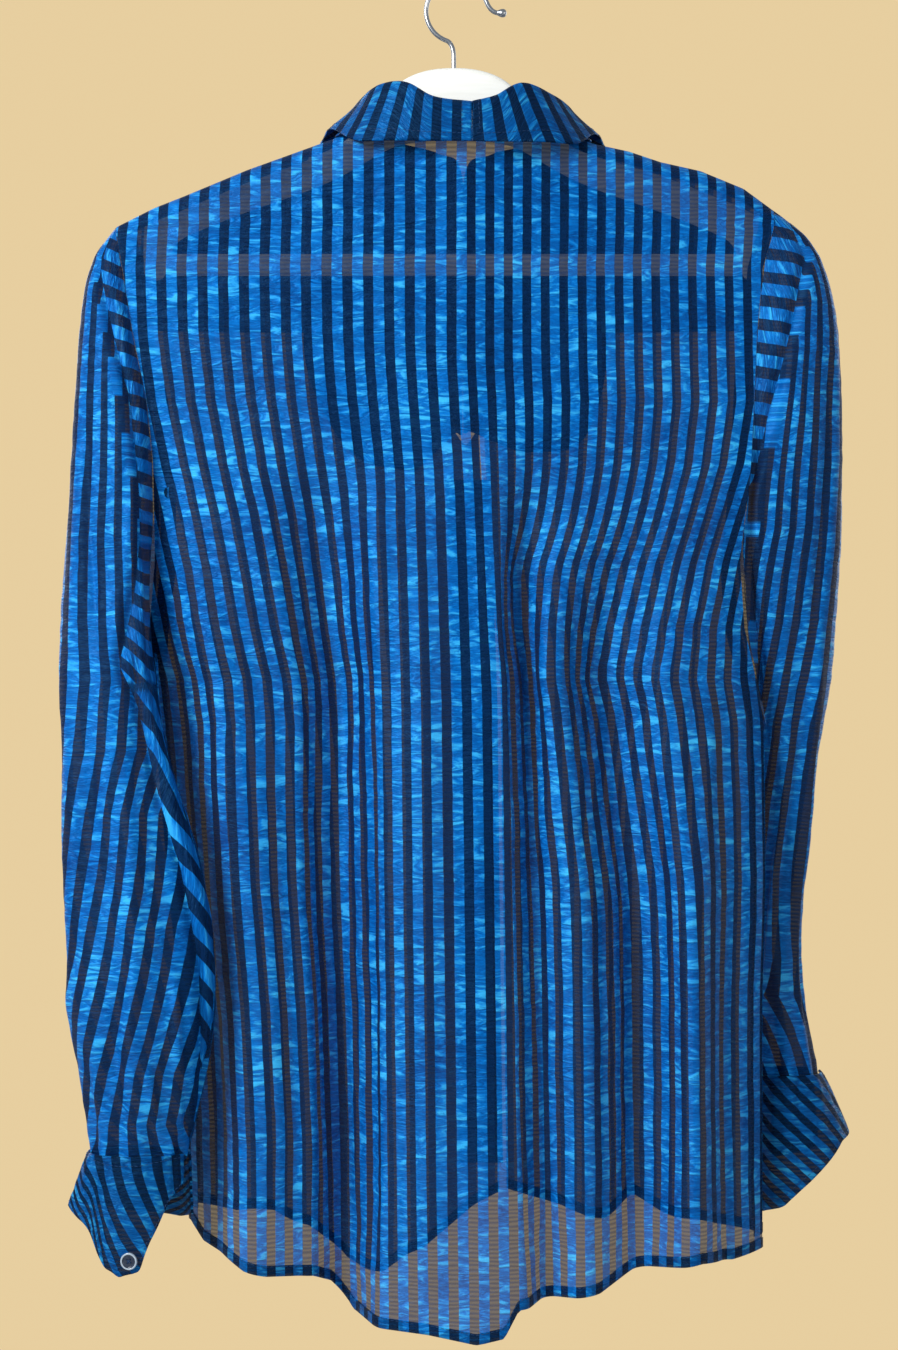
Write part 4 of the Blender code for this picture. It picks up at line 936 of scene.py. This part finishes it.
def sewn_on(parts, name, solid, facing):
    """Turns a button and its thread to face outwards and seats them where the solid is."""
    low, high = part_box(solid)
    axis = np.cross((0.0, 0.0, 1.0), facing)
    angle = math.acos(max(-1.0, min(1.0, float(facing[2]))))
    for part, ending in zip(parts, ("turned", "thread_a", "thread_b")):
        part.name = f"{name}_{ending}"
        part.rotation_mode = "AXIS_ANGLE"
        part.rotation_axis_angle = (angle, *(axis / np.linalg.norm(axis)))
        part.location = 0.5 * (np.array(low) + np.array(high))
        pick(part)
        bpy.ops.object.transform_apply(location=True, rotation=True, scale=True)
    finished(parts[0], shell, "dark_button", solid)
    finished(parts[1], navy_thread, "hem_navy")
    finished(parts[2], navy_thread, "hem_navy")


def copies(parts):
    """The same button again, each of its parts with a mesh of its own."""
    made = []
    for part in parts:
        again = bpy.data.objects.new(part.name, part.data.copy())
        scene.collection.objects.link(again)
        made.append(again)
    return made


shell = button_shell()
first_button = turned_button()
buttons = [first_button] + [copies(first_button) for _ in range(7)]
for index in range(1, 7):
    sewn_on(buttons[index - 1], f"front_button_{index}", f"front_button_{index}", (0.0, 1.0, 0.0))


# Sleeves: each is one panel seamed into a tube, set into the armhole with a soft cap. The cloth runs out
# from the seam level with the shoulder and then falls, so its stripes turn there along a diagonal fold.
LEFT_SLEEVE = (  # depth, outer edge, inner edge, middle front to back, half thickness
    (150.0, -218.0, -216.0, 0.0, 10.0), (172.0, -231.0, -226.0, -1.0, 14.0),
    (200.0, -238.0, -222.0, -3.0, 20.0), (240.0, -239.5, -210.0, -6.0, 25.0),
    (290.0, -240.5, -199.0, -10.0, 28.0), (350.0, -242.5, -188.0, -16.0, 29.0),
    (400.0, -243.4, -184.0, -23.0, 28.0), (436.0, -244.0, -186.0, -30.0, 27.0),
    (479.0, -244.0, -182.0, -42.0, 25.0),
    (517.0, -242.0, -160.0, -52.0, 26.0), (584.0, -238.0, -144.0, -58.0, 28.0),
    (632.0, -235.0, -142.0, -58.0, 30.0), (671.0, -239.0, -147.0, -54.0, 29.0),
    (703.0, -236.0, -155.0, -50.0, 25.0), (725.0, -222.5, -164.0, -46.0, 18.0),
)
RIGHT_SLEEVE = (
    (140.0, 201.0, 200.0, 0.0, 10.0), (159.0, 223.0, 217.0, 1.0, 13.0),
    (172.0, 233.0, 219.0, 2.0, 17.0), (200.0, 244.0, 211.0, 3.0, 22.0),
    (231.0, 249.0, 204.0, 5.0, 26.0), (279.0, 247.0, 193.0, 8.0, 28.0),
    (342.0, 243.0, 179.0, 14.0, 28.0), (400.0, 241.0, 181.0, 22.0, 27.0),
    (464.0, 238.0, 190.0, 35.0, 24.0), (513.0, 227.0, 187.0, 45.0, 23.0),
    (571.0, 221.0, 184.0, 50.0, 22.0), (615.0, 218.0, 185.0, 48.0, 17.0),
    (638.0, 214.5, 191.0, 46.0, 12.0), (666.0, 226.0, 189.0, 44.0, 18.0),
    (690.0, 232.0, 189.0, 42.0, 19.0),
)
SLEEVE_RINGS_CAP = 5
SLEEVE_RINGS_TUBE = 11
CAP_DROP = 52.0
SLEEVE_FOLDS = (  # degrees round from the outer edge, half width, top, full depth, dip
    (62.0, 20.0, 230.0, 420.0, 7.0), (128.0, 22.0, 330.0, 520.0, 8.0),
    (-58.0, 20.0, 230.0, 440.0, 7.0), (-120.0, 24.0, 340.0, 540.0, 8.0),
)
FOLD_FADE = 45.0
GATHERS = 4
GATHER_REACH = 70.0
GATHER_DIP = 1.8


def armhole_loop(side):
    """The armhole from the shoulder tip down the back to the underarm and up the front."""
    tip = SHOULDER_TIP[side]
    share = np.arange(11) / 10.0
    depth = tip + (UNDERARM[side] - tip) * share ** 1.9
    edge = np.full(11, float(side))
    keys = np.concatenate([back_point(edge, depth), front_point(edge, depth)[::-1][1:]])
    loop = []
    for index in range(2 * (len(keys) - 1)):
        low = index // 2
        loop.append(keys[low] + (keys[(low + 1) % len(keys)] - keys[low]) * (index / 2.0 - low))
    loop[0] = 0.5 * (keys[0] + keys[-1])
    return np.array(loop)


def round_tube(side, share, depth):
    """How far round the tube a share lies at a depth, and where the inner edge is: both as angles."""
    tip = SHOULDER_TIP[side]
    reached = np.clip((depth - tip) / (UNDERARM[side] - tip), 0.04, 1.0)
    end = np.radians(100.0 + 80.0 * smooth((depth - UNDERARM[side] + 110.0) / 170.0))
    return end * np.minimum(np.abs(share) / reached, 1.0), end


def sleeve_place(rows, side, share, depth):
    """A place on the hanging tube: share runs from the outer edge (0) round either face (1 or -1)."""
    outer, inner, middle, half = (float(plain(rows, index, depth)) for index in (1, 2, 3, 4))
    angle, end = round_tube(side, share, depth)
    across = outer + (inner - outer) * (1.0 - math.cos(angle)) / (1.0 - math.cos(end))
    away = (-1.0 if share >= 0.0 else 1.0) * half * math.sin(angle) ** 0.85
    round_it = math.degrees(angle) * (1.0 if share >= 0.0 else -1.0)
    dip = 0.0
    kept = float(smooth((rows[-1][0] - depth) / FOLD_FADE))
    for at, width, top, full, deep in SLEEVE_FOLDS:
        near = max(1.0 - abs(round_it - at) / width, 0.0)
        dip += kept * deep * float(smooth(near * 1.4) * smooth((depth - top) / (full - top)))
    gathers = GATHER_DIP * float(smooth((depth - rows[-1][0] + GATHER_REACH) / GATHER_REACH))
    dip += gathers * (1.0 - math.cos(2.0 * GATHERS * angle))
    shrink = 1.0 - dip / max(half, 8.0) * 0.8
    centre = 0.5 * (outer + inner)
    return np.array((centre + (across - centre) * shrink, middle + away * shrink, -depth))


def sleeve_sections(rows, side):
    """The sleeve's main sections: the cap's rings from the armhole, then the tube's."""
    loop = armhole_loop(side)
    count = len(loop)
    foot = rows[-1][0]
    columns = []
    for index in range(count):
        turns = index / (count / 2.0)
        share = turns if turns <= 1.0 else turns - 2.0
        start = loop[index].copy()
        start[0] += side * (SEAM_GAP + 1.5 * float(smooth((abs(share) - 0.72) / 0.2)))
        join = CAP_DROP - start[2]
        hung = sleeve_place(rows, side, share, join)
        corner = np.array((hung[0], 0.5 * (start[1] + hung[1]), start[2] - 0.12 * CAP_DROP))
        line = []
        for step in range(SLEEVE_RINGS_CAP):
            t = step / SLEEVE_RINGS_CAP
            line.append(start * (1 - t) ** 2 + corner * 2 * t * (1 - t) + hung * t * t)
        for step in range(SLEEVE_RINGS_TUBE + 1):
            line.append(sleeve_place(rows, side, share, join + (foot - join) * step / SLEEVE_RINGS_TUBE))
        columns.append(line)
    grid = np.array(columns).swapaxes(0, 1)
    for _ in range(8):
        beside = 0.5 * (np.roll(grid, 1, axis=1) + np.roll(grid, -1, axis=1))
        above = 0.5 * (grid[:-2] + grid[2:])
        grid[1:-1] = 0.5 * grid[1:-1] + 0.25 * (beside[1:-1] + above)
    return grid


def finer(grid, times, axis, around=False):
    """Smoothly fills in a grid along one axis, passing through every place of it."""
    grid = np.moveaxis(grid, axis, 0)
    count = len(grid)
    if around:
        padded = np.concatenate([grid[-1:], grid, grid[:2]])
        steps = count * times
    else:
        padded = np.concatenate([2 * grid[:1] - grid[1:2], grid, 2 * grid[-1:] - grid[-2:-1]])
        steps = (count - 1) * times + 1
    place = np.arange(steps) / times
    low = np.minimum(place.astype(int), count - 1 if around else count - 2)
    t = (place - low).reshape((-1,) + (1,) * (grid.ndim - 1))
    a, b, c, d = (padded[low + k] for k in range(4))
    bent = (2 * a - 5 * b + 4 * c - d) * t * t
    made = 0.5 * (2 * b + (c - a) * t + bent + (3 * b - a - 3 * c + d) * t ** 3)
    return np.moveaxis(made, 0, axis)


def leaning(rows, depth):
    """How far leaning stripes have moved aside at a depth, and how much closer together they lie there."""
    steps = np.arange(80.0, 900.0, 2.0)
    angle = np.radians(plain(rows, 1, steps))
    moved = np.cumsum(np.sin(angle)) * 2.0
    return np.interp(depth, steps, moved), np.interp(depth, steps, np.cos(angle))


SLEEVE_CRIMP = ((2.2, 30.0, 46.0, 0), (0.6, 13.0, 6.0, 6))
FOLD_VALLEY = (4.0, 3.4)  # half width and depth of the groove along the diagonal fold
BARS_FOOT = 440.0  # depth where the bars beside the fold give way to slanting stripes
BAR_SHARE = 12.2 / 15.0
LEFT_TILT = ((150.0, 0.42), (260.0, 0.36), (380.0, 0.55), (440.0, 0.95))  # depth, slant of the bars
RIGHT_TILT = ((150.0, 0.14), (440.0, 0.14))
BARS_MIDDLE = 200.0
INSIDE_LEAN = (0.84, 0.54)
EASE = ((150.0, 1.06), (400.0, 1.06), (480.0, 1.02), (560.0, 0.98), (740.0, 0.98))  # depth, cloth to width


def around_cloth(grid, rows, side):
    """Distance round a tube from its outer edge, to the back and to the front, and its cloth eased in."""
    wrapped = np.concatenate([grid, grid[:, :1]], axis=1)
    step = np.linalg.norm(np.diff(wrapped, axis=1), axis=2)
    run = np.concatenate([np.zeros((len(grid), 1)), np.cumsum(step, axis=1)], axis=1)
    turns = np.linspace(0.0, 2.0, run.shape[1])[None, :]
    before = turns > 1.0
    run = np.where(before, run - run[:, -1:], run)
    depth = -wrapped[..., 2]
    angle, end = round_tube(side, np.where(before, 2.0 - turns, turns), depth)
    outer, inner = plain(rows, 1, depth), plain(rows, 2, depth)
    past = np.maximum((wrapped[..., 0] - outer) / (inner - outer) - 1.0, 0.0)
    share = 0.5 * (1.0 - np.cos(angle)) / (1.0 - np.cos(end)) + 0.5 * angle / end + past
    wide = np.abs(inner - outer) * plain(EASE, 1, depth) + 3.0
    return run, share * wide * np.where(before, -1.0, 1.0), wrapped


LEFT_FOLD = (  # depth, across of the fold where the stripes turn
    (150.0, -214.0), (181.0, -222.0), (200.0, -217.5), (239.0, -206.5), (258.0, -200.5),
    (289.0, -196.0), (312.0, -193.5), (349.0, -191.5), (387.0, -195.5), (426.0, -204.0), (451.0, -192.0),
    (511.0, -177.0), (548.0, -165.0), (608.0, -153.0), (684.0, -151.0), (730.0, -150.0),
)
RIGHT_FOLD = (
    (142.0, 204.0), (172.0, 217.0), (194.0, 212.0), (217.0, 207.5), (244.0, 200.5), (275.0, 192.0),
    (307.0, 185.0), (330.0, 178.0), (730.0, 172.0),
)
LEFT_SLANT = (  # depth, degrees that the stripes lean from upright
    (150.0, 0.0), (400.0, 0.0), (460.0, 4.0), (540.0, 10.0), (600.0, 14.0), (660.0, 18.0), (730.0, 24.0),
)
RIGHT_SLANT = ((140.0, -3.0), (400.0, -2.0), (560.0, 2.0), (700.0, 6.0))
LEFT_SLEEVE_CREASES = (  # round from the outer edge, depth, round, depth, half width, height
    (20.0, 260.0, 60.0, 420.0, 7.0, -2.4), (-12.0, 300.0, 8.0, 480.0, 7.0, 1.8),
    (45.0, 470.0, 6.0, 640.0, 9.0, -3.2), (80.0, 500.0, 40.0, 700.0, 8.0, 2.6),
    (70.0, 560.0, 20.0, 705.0, 6.0, -2.6), (100.0, 600.0, 74.0, 712.0, 5.0, 2.4),
    (10.0, 600.0, -20.0, 712.0, 6.0, 2.4), (40.0, 650.0, 30.0, 722.0, 4.0, -2.2),
    (60.0, 655.0, 55.0, 722.0, 4.0, 2.0), (84.0, 660.0, 80.0, 722.0, 4.0, -2.0),
    (16.0, 655.0, 12.0, 722.0, 4.0, -2.0), (-60.0, 280.0, -30.0, 520.0, 9.0, 2.4),
    (-80.0, 420.0, -50.0, 660.0, 9.0, -2.6), (-40.0, 560.0, -30.0, 715.0, 6.0, 2.2),
    (-100.0, 560.0, -84.0, 712.0, 7.0, 2.4), (-20.0, 660.0, -16.0, 722.0, 4.0, 1.8),
)
RIGHT_SLEEVE_CREASES = (
    (14.0, 220.0, 40.0, 420.0, 7.0, -2.2), (30.0, 380.0, 8.0, 600.0, 7.0, 2.2),
    (44.0, 460.0, 30.0, 640.0, 6.0, -2.6), (-14.0, 260.0, 4.0, 480.0, 8.0, 2.0),
    (6.0, 560.0, 4.0, 680.0, 4.0, -2.0), (22.0, 600.0, 20.0, 686.0, 4.0, 1.8),
    (-30.0, 320.0, -50.0, 560.0, 8.0, -2.4), (-60.0, 420.0, -40.0, 660.0, 7.0, 2.2),
    (-20.0, 600.0, -16.0, 688.0, 4.0, 1.8), (60.0, 520.0, 44.0, 680.0, 5.0, 1.8),
)
turned = organza("striped_organza_sleeve", 0.965, 0.87, turned=True)
for side, name, rows, fold, folds, slant, tilts in (
    (-1, "left", LEFT_SLEEVE, LEFT_FOLD, LEFT_SLEEVE_CREASES, LEFT_SLANT, LEFT_TILT),
    (1, "right", RIGHT_SLEEVE, RIGHT_FOLD, RIGHT_SLEEVE_CREASES, RIGHT_SLANT, RIGHT_TILT),
):
    sections = sleeve_sections(rows, side)
    grid = finer(finer(sections, 14, 0), 6, 1, around=True)
    run, eased, wrapped = around_cloth(grid, rows, side)
    down = -wrapped[..., 2]
    moved, closer = leaning(slant, down)
    flat = np.stack([eased * closer + moved, -down], axis=-1)
    run, depth = run[:, :-1], down[:, :-1]
    free = smooth((depth - depth[:1]) / 30.0) * smooth((rows[-1][0] - depth) / 10.0)
    lift = creases(folds, run, depth) * free
    lift += crimped(SLEEVE_CRIMP, run, depth, 41 + side) * free
    line = plain(fold, 1, depth)
    beyond = np.where(grid[..., 1] < plain(rows, 3, depth), side * (line - grid[..., 0]), -30.0)
    valley = np.exp(-(beyond / FOLD_VALLEY[0]) ** 2) * FOLD_VALLEY[1]
    skin = normals_of(grid, True) * (1.0 if side < 0 else -1.0)
    grid = grid + skin * (lift - valley * free)[..., None]
    bars = down * BAR_SHARE - plain(tilts, 1, down) * (wrapped[..., 0] - side * BARS_MIDDLE)
    inside = eased * INSIDE_LEAN[0] - down * INSIDE_LEAN[1]
    band = np.stack([np.where(down < BARS_FOOT, bars, inside), eased], axis=-1)
    maps = {"cloth": flat, "band": band}
    sleeve = sheet_mesh(f"sleeve_{name}_cloth", grid, maps, around=True, flip=side > 0)
    mark = sleeve.data.attributes.new("fold", "FLOAT", "POINT")
    mark.data.foreach_set("value", beyond.ravel().astype(np.float32))
    finished(sleeve, turned, "azure_organza", f"sleeve_{name}")


# Cuffs: doubled bands sewn to the gathered ends of the sleeves, left unbuttoned. Their free ends hang
# lower and fan out, and each carries one small dark button on its overlap.
def closed_cloth(name, grid, flat, thickness):
    """Doubled cloth: two skins of one grid, joined all round by the turned edge."""
    skin = normals_of(grid) * 0.5 * thickness
    rows, cols = grid.shape[:2]
    count = rows * cols
    verts = np.concatenate([(grid + skin).reshape(-1, 3), (grid - skin).reshape(-1, 3)])
    faces = []
    for r in range(rows - 1):
        for c in range(cols - 1):
            a, b, d, e = r * cols + c, (r + 1) * cols + c, (r + 1) * cols + c + 1, r * cols + c + 1
            faces.append((a, b, d, e))
            faces.append((count + a, count + e, count + d, count + b))
    rim = list(range(cols)) + [r * cols + cols - 1 for r in range(1, rows)]
    rim += [(rows - 1) * cols + c for c in range(cols - 2, -1, -1)]
    rim += [r * cols for r in range(rows - 2, 0, -1)]
    for a, b in zip(rim, rim[1:] + rim[:1]):
        faces.append((a, b, count + b, count + a))
    mesh = bpy.data.meshes.new(name)
    mesh.from_pydata((verts * MM).tolist(), [], faces)
    layer = mesh.uv_layers.new(name="cloth")
    cloth = flat.reshape(-1, 2) * MM
    corner = np.zeros(len(mesh.loops), dtype=np.int32)
    mesh.loops.foreach_get("vertex_index", corner)
    layer.data.foreach_set("uv", cloth[corner % count].astype(np.float32).ravel())
    made = bmesh.new()
    made.from_mesh(mesh)
    if made.calc_volume(signed=True) < 0.0:
        bmesh.ops.reverse_faces(made, faces=made.faces)
    made.to_mesh(mesh)
    made.free()
    mesh.shade_smooth()
    piece = bpy.data.objects.new(name, mesh)
    scene.collection.objects.link(piece)
    return piece


def run_of(grid, axis):
    """Distance along the cloth from its first row or column."""
    step = np.linalg.norm(np.diff(grid, axis=axis), axis=2)
    run = np.cumsum(step, axis=axis)
    return np.insert(run, 0, 0.0, axis=axis)


CUFF_LAP = 2.6
CUFF_EASE = 1.3
CUFF_THICK = 1.5
STITCHES_OUT = 0.95
LEFT_CUFF = (  # share along the band, degrees round, length, flare; -90 degrees faces the back
    (0.0, -25.0, 14.0, 0.0), (0.07, -50.0, 24.0, 0.0), (0.12, -72.0, 46.0, 0.5), (0.17, -86.0, 66.0, 1.0),
    (0.25, -108.0, 69.0, 1.5), (0.3, -128.0, 62.0, 3.0), (0.34, -142.0, 40.0, 6.0),
    (0.42, -168.0, 29.0, 12.0), (0.52, -195.0, 29.0, 10.0), (0.7, -255.0, 38.0, 5.0),
    (0.88, -315.0, 40.0, 3.0), (1.0, -350.0, 36.0, 2.0),
)
RIGHT_CUFF = (
    (0.0, 12.0, 37.0, 20.0), (0.08, -16.0, 40.0, 14.0), (0.2, -58.0, 62.0, 6.0), (0.32, -98.0, 80.0, 1.0),
    (0.42, -135.0, 84.0, 0.0), (0.55, -180.0, 70.0, 2.0), (0.72, -235.0, 60.0, 4.0),
    (0.88, -290.0, 54.0, 5.0), (1.0, -325.0, 48.0, 6.0),
)
LEFT_CUFF_PLEATS = (  # share along the band, half width, height: gathers that run down from the seam
    (0.05, 0.012, 1.0), (0.105, 0.014, -1.1), (0.3, 0.018, 1.6), (0.37, 0.02, -1.8), (0.45, 0.018, 1.8),
    (0.52, 0.016, -1.7), (0.6, 0.018, 1.6), (0.68, 0.016, -1.5), (0.77, 0.02, 1.5), (0.87, 0.018, -1.4),
    (0.95, 0.015, 1.1),
)
RIGHT_CUFF_PLEATS = (
    (0.06, 0.016, 1.1), (0.15, 0.02, -1.3), (0.25, 0.018, 1.5), (0.36, 0.022, -1.4), (0.49, 0.02, 1.3),
    (0.6, 0.018, -1.2), (0.71, 0.02, 1.3), (0.83, 0.018, -1.2), (0.93, 0.016, 1.0),
)
for side, name, cuff, rows, pleats, button, slant, deep in (
    (-1, "left", LEFT_CUFF, LEFT_SLEEVE, LEFT_CUFF_PLEATS, 0.22, 0.0, 0.042),
    (1, "right", RIGHT_CUFF, RIGHT_SLEEVE, RIGHT_CUFF_PLEATS, 0.8, 0.55, 0.060),
):
    end, outer, inner, middle, half = rows[-1]
    share = np.linspace(0.0, 1.0, 193)[None, :]
    down = np.linspace(0.0, 1.0, 40)[:, None]
    angle = np.radians(plain(cuff, 1, share))
    angle = finer(angle[:, ::8], 8, 1)
    length = finer(plain(cuff, 2, share)[:, ::4], 4, 1)
    flare = finer(plain(cuff, 3, share)[:, ::8], 8, 1)
    reach = flare * down ** 0.8
    across = 0.5 * (outer + inner) + (0.5 * abs(outer - inner) + CUFF_EASE + reach) * np.cos(angle)
    away = middle + (half + CUFF_EASE + reach) * np.sin(angle)
    height = -end + CUFF_LAP * (1.0 - down) - length * down
    grid = np.stack([across, away, height], axis=-1)
    along_band = run_of(grid, 1)
    flat = np.stack([along_band + slant * length * down, -length * down], axis=-1)
    lift = np.zeros_like(across)
    for at, wide, tall in pleats:
        lift += tall * np.exp(-((share - at) / wide) ** 2) * (1.0 - 0.55 * down)
    lift += 0.9 * crimp(along_band, length * down, 9.0, 8.0, 61 + side)
    lift *= smooth(down * 6.0 + 0.25) * smooth((1.0 - down) * 6.0 + 0.2)
    near_button = np.exp(-((share - button) / 0.05) ** 2)
    lift *= 1.0 - 0.85 * near_button
    grid = grid + normals_of(grid) * lift[..., None]
    piece = closed_cloth(f"cuff_{name}_cloth", grid, flat, CUFF_THICK)
    finished(piece, doubled, "azure_organza", f"cuff_{name}")
    skin = normals_of(grid)
    outward = np.sign(np.sum((grid - grid.mean(axis=(0, 1))) * skin, axis=(0, 1)).sum())
    for label, row in (("top", 3), ("foot", 36)):
        line = grid[row, 3:-3] + skin[row, 3:-3] * outward * STITCHES_OUT
        seam = stitch_row(f"cuff_{name}_stitches_{label}", line, skin[row, 3:-3] * outward)
        finished(seam, navy_thread, "hem_navy")
    solid = f"cuff_button_{name}"
    low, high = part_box(solid)
    seat = 0.5 * (np.array(low) + np.array(high)) / MM
    out = np.array([seat[0] - 0.5 * (outer + inner), seat[1] - middle, 0.0])
    sewn_on(buttons[6 if side < 0 else 7], solid, solid, out / np.linalg.norm(out))


# Collar: a tall stand that rolls over into a fall at the back of the neck and broad lapels down the
# front. It is doubled, seamed at the centre back, and its stripes run up over the roll.
COLLAR_LEFT = (  # face, seam x, roll x y depth, edge x y depth
    (-1, 9.1, 9.1, -31.0, 84.0, 9.1, -40.0, 107.0), (-1, -14.0, -14.0, -30.0, 80.5, -16.0, -40.0, 107.0),
    (-1, -42.0, -31.0, -26.0, 71.5, -42.0, -36.0, 106.0),
    (-1, -64.0, -45.0, -18.0, 72.0, -63.0, -28.0, 104.0),
    (-1, -75.0, -58.0, -3.0, 80.0, -78.0, -5.0, 92.5), (1, -75.5, -58.0, 8.0, 85.0, -84.0, 12.0, 95.0),
    (1, -72.0, -46.0, 21.0, 95.0, -89.0, 25.0, 106.0), (1, -62.0, -15.0, 34.0, 101.0, -92.0, 34.0, 160.0),
    (1, -44.0, 2.0, 39.0, 116.0, -97.0, 38.0, 232.0), (1, -26.0, 2.9, 43.0, 205.0, -68.0, 45.0, 290.0),
    (1, -10.0, 2.9, 47.0, 277.0, -27.0, 50.0, 302.0),
)
COLLAR_RIGHT = (
    (-1, 9.2, 9.2, -31.0, 84.0, 9.2, -40.0, 107.0), (-1, 30.0, 24.0, -30.0, 80.0, 30.0, -40.0, 107.5),
    (-1, 54.0, 39.0, -26.0, 71.5, 55.0, -36.0, 107.0), (-1, 74.0, 54.0, -17.0, 77.0, 74.0, -27.0, 106.0),
    (-1, 83.0, 66.0, -3.0, 83.0, 86.0, -5.0, 95.5), (1, 83.5, 66.0, 8.0, 88.0, 92.0, 12.0, 98.0),
    (1, 80.0, 54.0, 21.0, 97.0, 96.0, 25.0, 109.0), (1, 70.0, 23.0, 34.0, 102.0, 96.0, 34.0, 162.0),
    (1, 53.0, 6.0, 39.0, 117.0, 96.0, 38.0, 234.0), (1, 37.0, 5.1, 43.0, 206.0, 80.0, 45.0, 283.0),
    (1, 22.0, 5.1, 47.0, 276.0, 42.0, 50.0, 290.0),
)
COLLAR_SEAM_GAP = 1.5
STAND_STEPS = 4
FALL_STEPS = 5
ROLL_RADIUS = 2.6
COLLAR_THICK = 1.1
COLLAR_STITCHES_OUT = 0.7
LAYER = 1.6


def front_place(across, depth):
    return front_point(thread_at(FRONT, across, depth), depth)


collar_cloth = organza("striped_organza_collar", 0.985, 0.95, shift=0.25, dim=0.64)
for side, name, rows in ((-1, "left", COLLAR_LEFT), (1, "right", COLLAR_RIGHT)):
    keys = []
    for face, seam, roll_x, roll_y, roll_depth, edge_x, edge_y, edge_depth in rows:
        if face < 0:
            start = (seam, -float(neck_reach(seam)), COLLAR_SEAM_GAP - float(top_depth(seam)))
        else:
            low = float(neckline_depth(seam))
            below = front_place(np.array([seam]), np.array([low + 1.0]))
            start = (seam, float(below[0, 1]), COLLAR_SEAM_GAP - low)
        keys.append((start, (roll_x, roll_y, -roll_depth), (edge_x, edge_y, -edge_depth)))
    lines = finer(np.array(keys), 16, 0)
    seam, rolled, edge = lines[:, 0], lines[:, 1], lines[:, 2]
    stand = (rolled - seam) / np.linalg.norm(rolled - seam, axis=1, keepdims=True)
    outward = side * np.cross(np.gradient(rolled, axis=0), stand)
    outward = outward / np.maximum(np.linalg.norm(outward, axis=1, keepdims=True), 1e-6)
    section = [seam + (rolled - seam) * step / STAND_STEPS for step in range(STAND_STEPS + 1)]
    section.append(rolled + outward * ROLL_RADIUS + stand * 0.8 * ROLL_RADIUS)
    fall = rolled + outward * 2.0 * ROLL_RADIUS
    section += [fall + (edge - fall) * step / FALL_STEPS for step in range(FALL_STEPS + 1)]
    grid = finer(np.stack(section, axis=1), 4, 1)
    first = (STAND_STEPS + 2) * 4
    part = grid[:, first:]
    on_front = (part[..., 1] > 2.0) & (-part[..., 2] > top_depth(part[..., 0]) + 1.0)
    limit = front_place(part[..., 0], -part[..., 2])[..., 1] + LAYER + 1.2
    part[..., 1] = np.where(on_front, np.maximum(part[..., 1], limit), part[..., 1])
    down_run = run_of(grid, 1)
    along_run = run_of(grid, 0)
    length = along_run[:, first + 6:first + 7] * side
    flat = np.stack([np.broadcast_to(length, down_run.shape), -down_run], axis=-1)
    lift = 0.7 * crimp(np.broadcast_to(along_run[:, :1], down_run.shape), down_run, 16.0, 14.0, 71 + side)
    lift *= smooth(down_run / 12.0) * smooth((down_run[:, -1:] - down_run) / 5.0)
    grid = grid + normals_of(grid) * lift[..., None]
    piece = closed_cloth(f"collar_{name}_cloth", grid, flat, COLLAR_THICK)
    finished(piece, collar_cloth, "azure_organza", f"collar_{name}")
    skin = normals_of(grid)
    away = np.sign(np.dot(skin[10, -8], (0.0, -1.0, 0.0)))
    edge_line = grid[2:-2, -5] + skin[2:-2, -5] * away * COLLAR_STITCHES_OUT
    edge_stitches = stitch_row(f"collar_{name}_edge_stitches", edge_line, skin[2:-2, -5] * away)
    middle_line = grid[4, 3:-4] + skin[4, 3:-4] * away * COLLAR_STITCHES_OUT
    middle_stitches = stitch_row(f"collar_{name}_middle_stitches", middle_line, skin[4, 3:-4] * away)
    finished(edge_stitches, navy_thread, "hem_navy")
    finished(middle_stitches, navy_thread, "hem_navy")


# Seam allowances: at the side and shoulder seams the panels' edges are turned back inside and
# overlocked. Each is a narrow ribbon that shows through the sheer cloth as a darker line.
ALLOWANCE = 10.2


def allowance(name, point, edge, inward, side):
    """A narrow ribbon just inside a seam: edge and inner line of places, moved to the cloth's inside."""
    share = np.linspace(0.0, 1.0, 4)[:, None, None]
    grid = edge[None] * (1.0 - share) + inward[None] * share
    grid = grid + np.array([0.0, -0.9 if point is front_point else 0.9, 0.0])
    run = run_of(grid, 1)
    flat = np.stack([np.broadcast_to(share[..., 0] * ALLOWANCE, run.shape), -run], axis=-1)
    ribbon = sheet_mesh(name, grid, {"cloth": flat}, flip=(side > 0) != (point is front_point))
    finished(ribbon, seam_cloth, "azure_organza")


seam_cloth = organza("seam_allowance", 0.93, 0.93, dim=0.45)
for label, point, panel, hem in (
    ("back", back_point, BACK, BACK_HEM),
    ("front", front_point, FRONT, FRONT_HEM),
):
    for side, name in ((-1, "left"), (1, "right")):
        foot = float(foot_of(panel, hem, np.array([float(side)]))[0]) - 7.0
        depth = np.linspace(SHOULDER_TIP[side] + 3.0, foot, 240)
        reach = ALLOWANCE / plain(SIDE_SEAMS, 3, depth)
        outer_edge = point(np.full(240, float(side)), depth)
        inner_edge = point(side * (1.0 - reach), depth)
        allowance(f"{label}_{name}_seam_allowance", point, outer_edge, inner_edge, side)
for side, name in ((-1, "left"), (1, "right")):
    threads = side * np.linspace(0.44, 0.99, 120)
    tops = top_of(BACK, threads)
    outer_edge = back_point(threads, tops + 0.4)
    inner_edge = back_point(threads, tops + 0.4 + ALLOWANCE)
    allowance(f"shoulder_{name}_seam_allowance", back_point, outer_edge, inner_edge, -side)
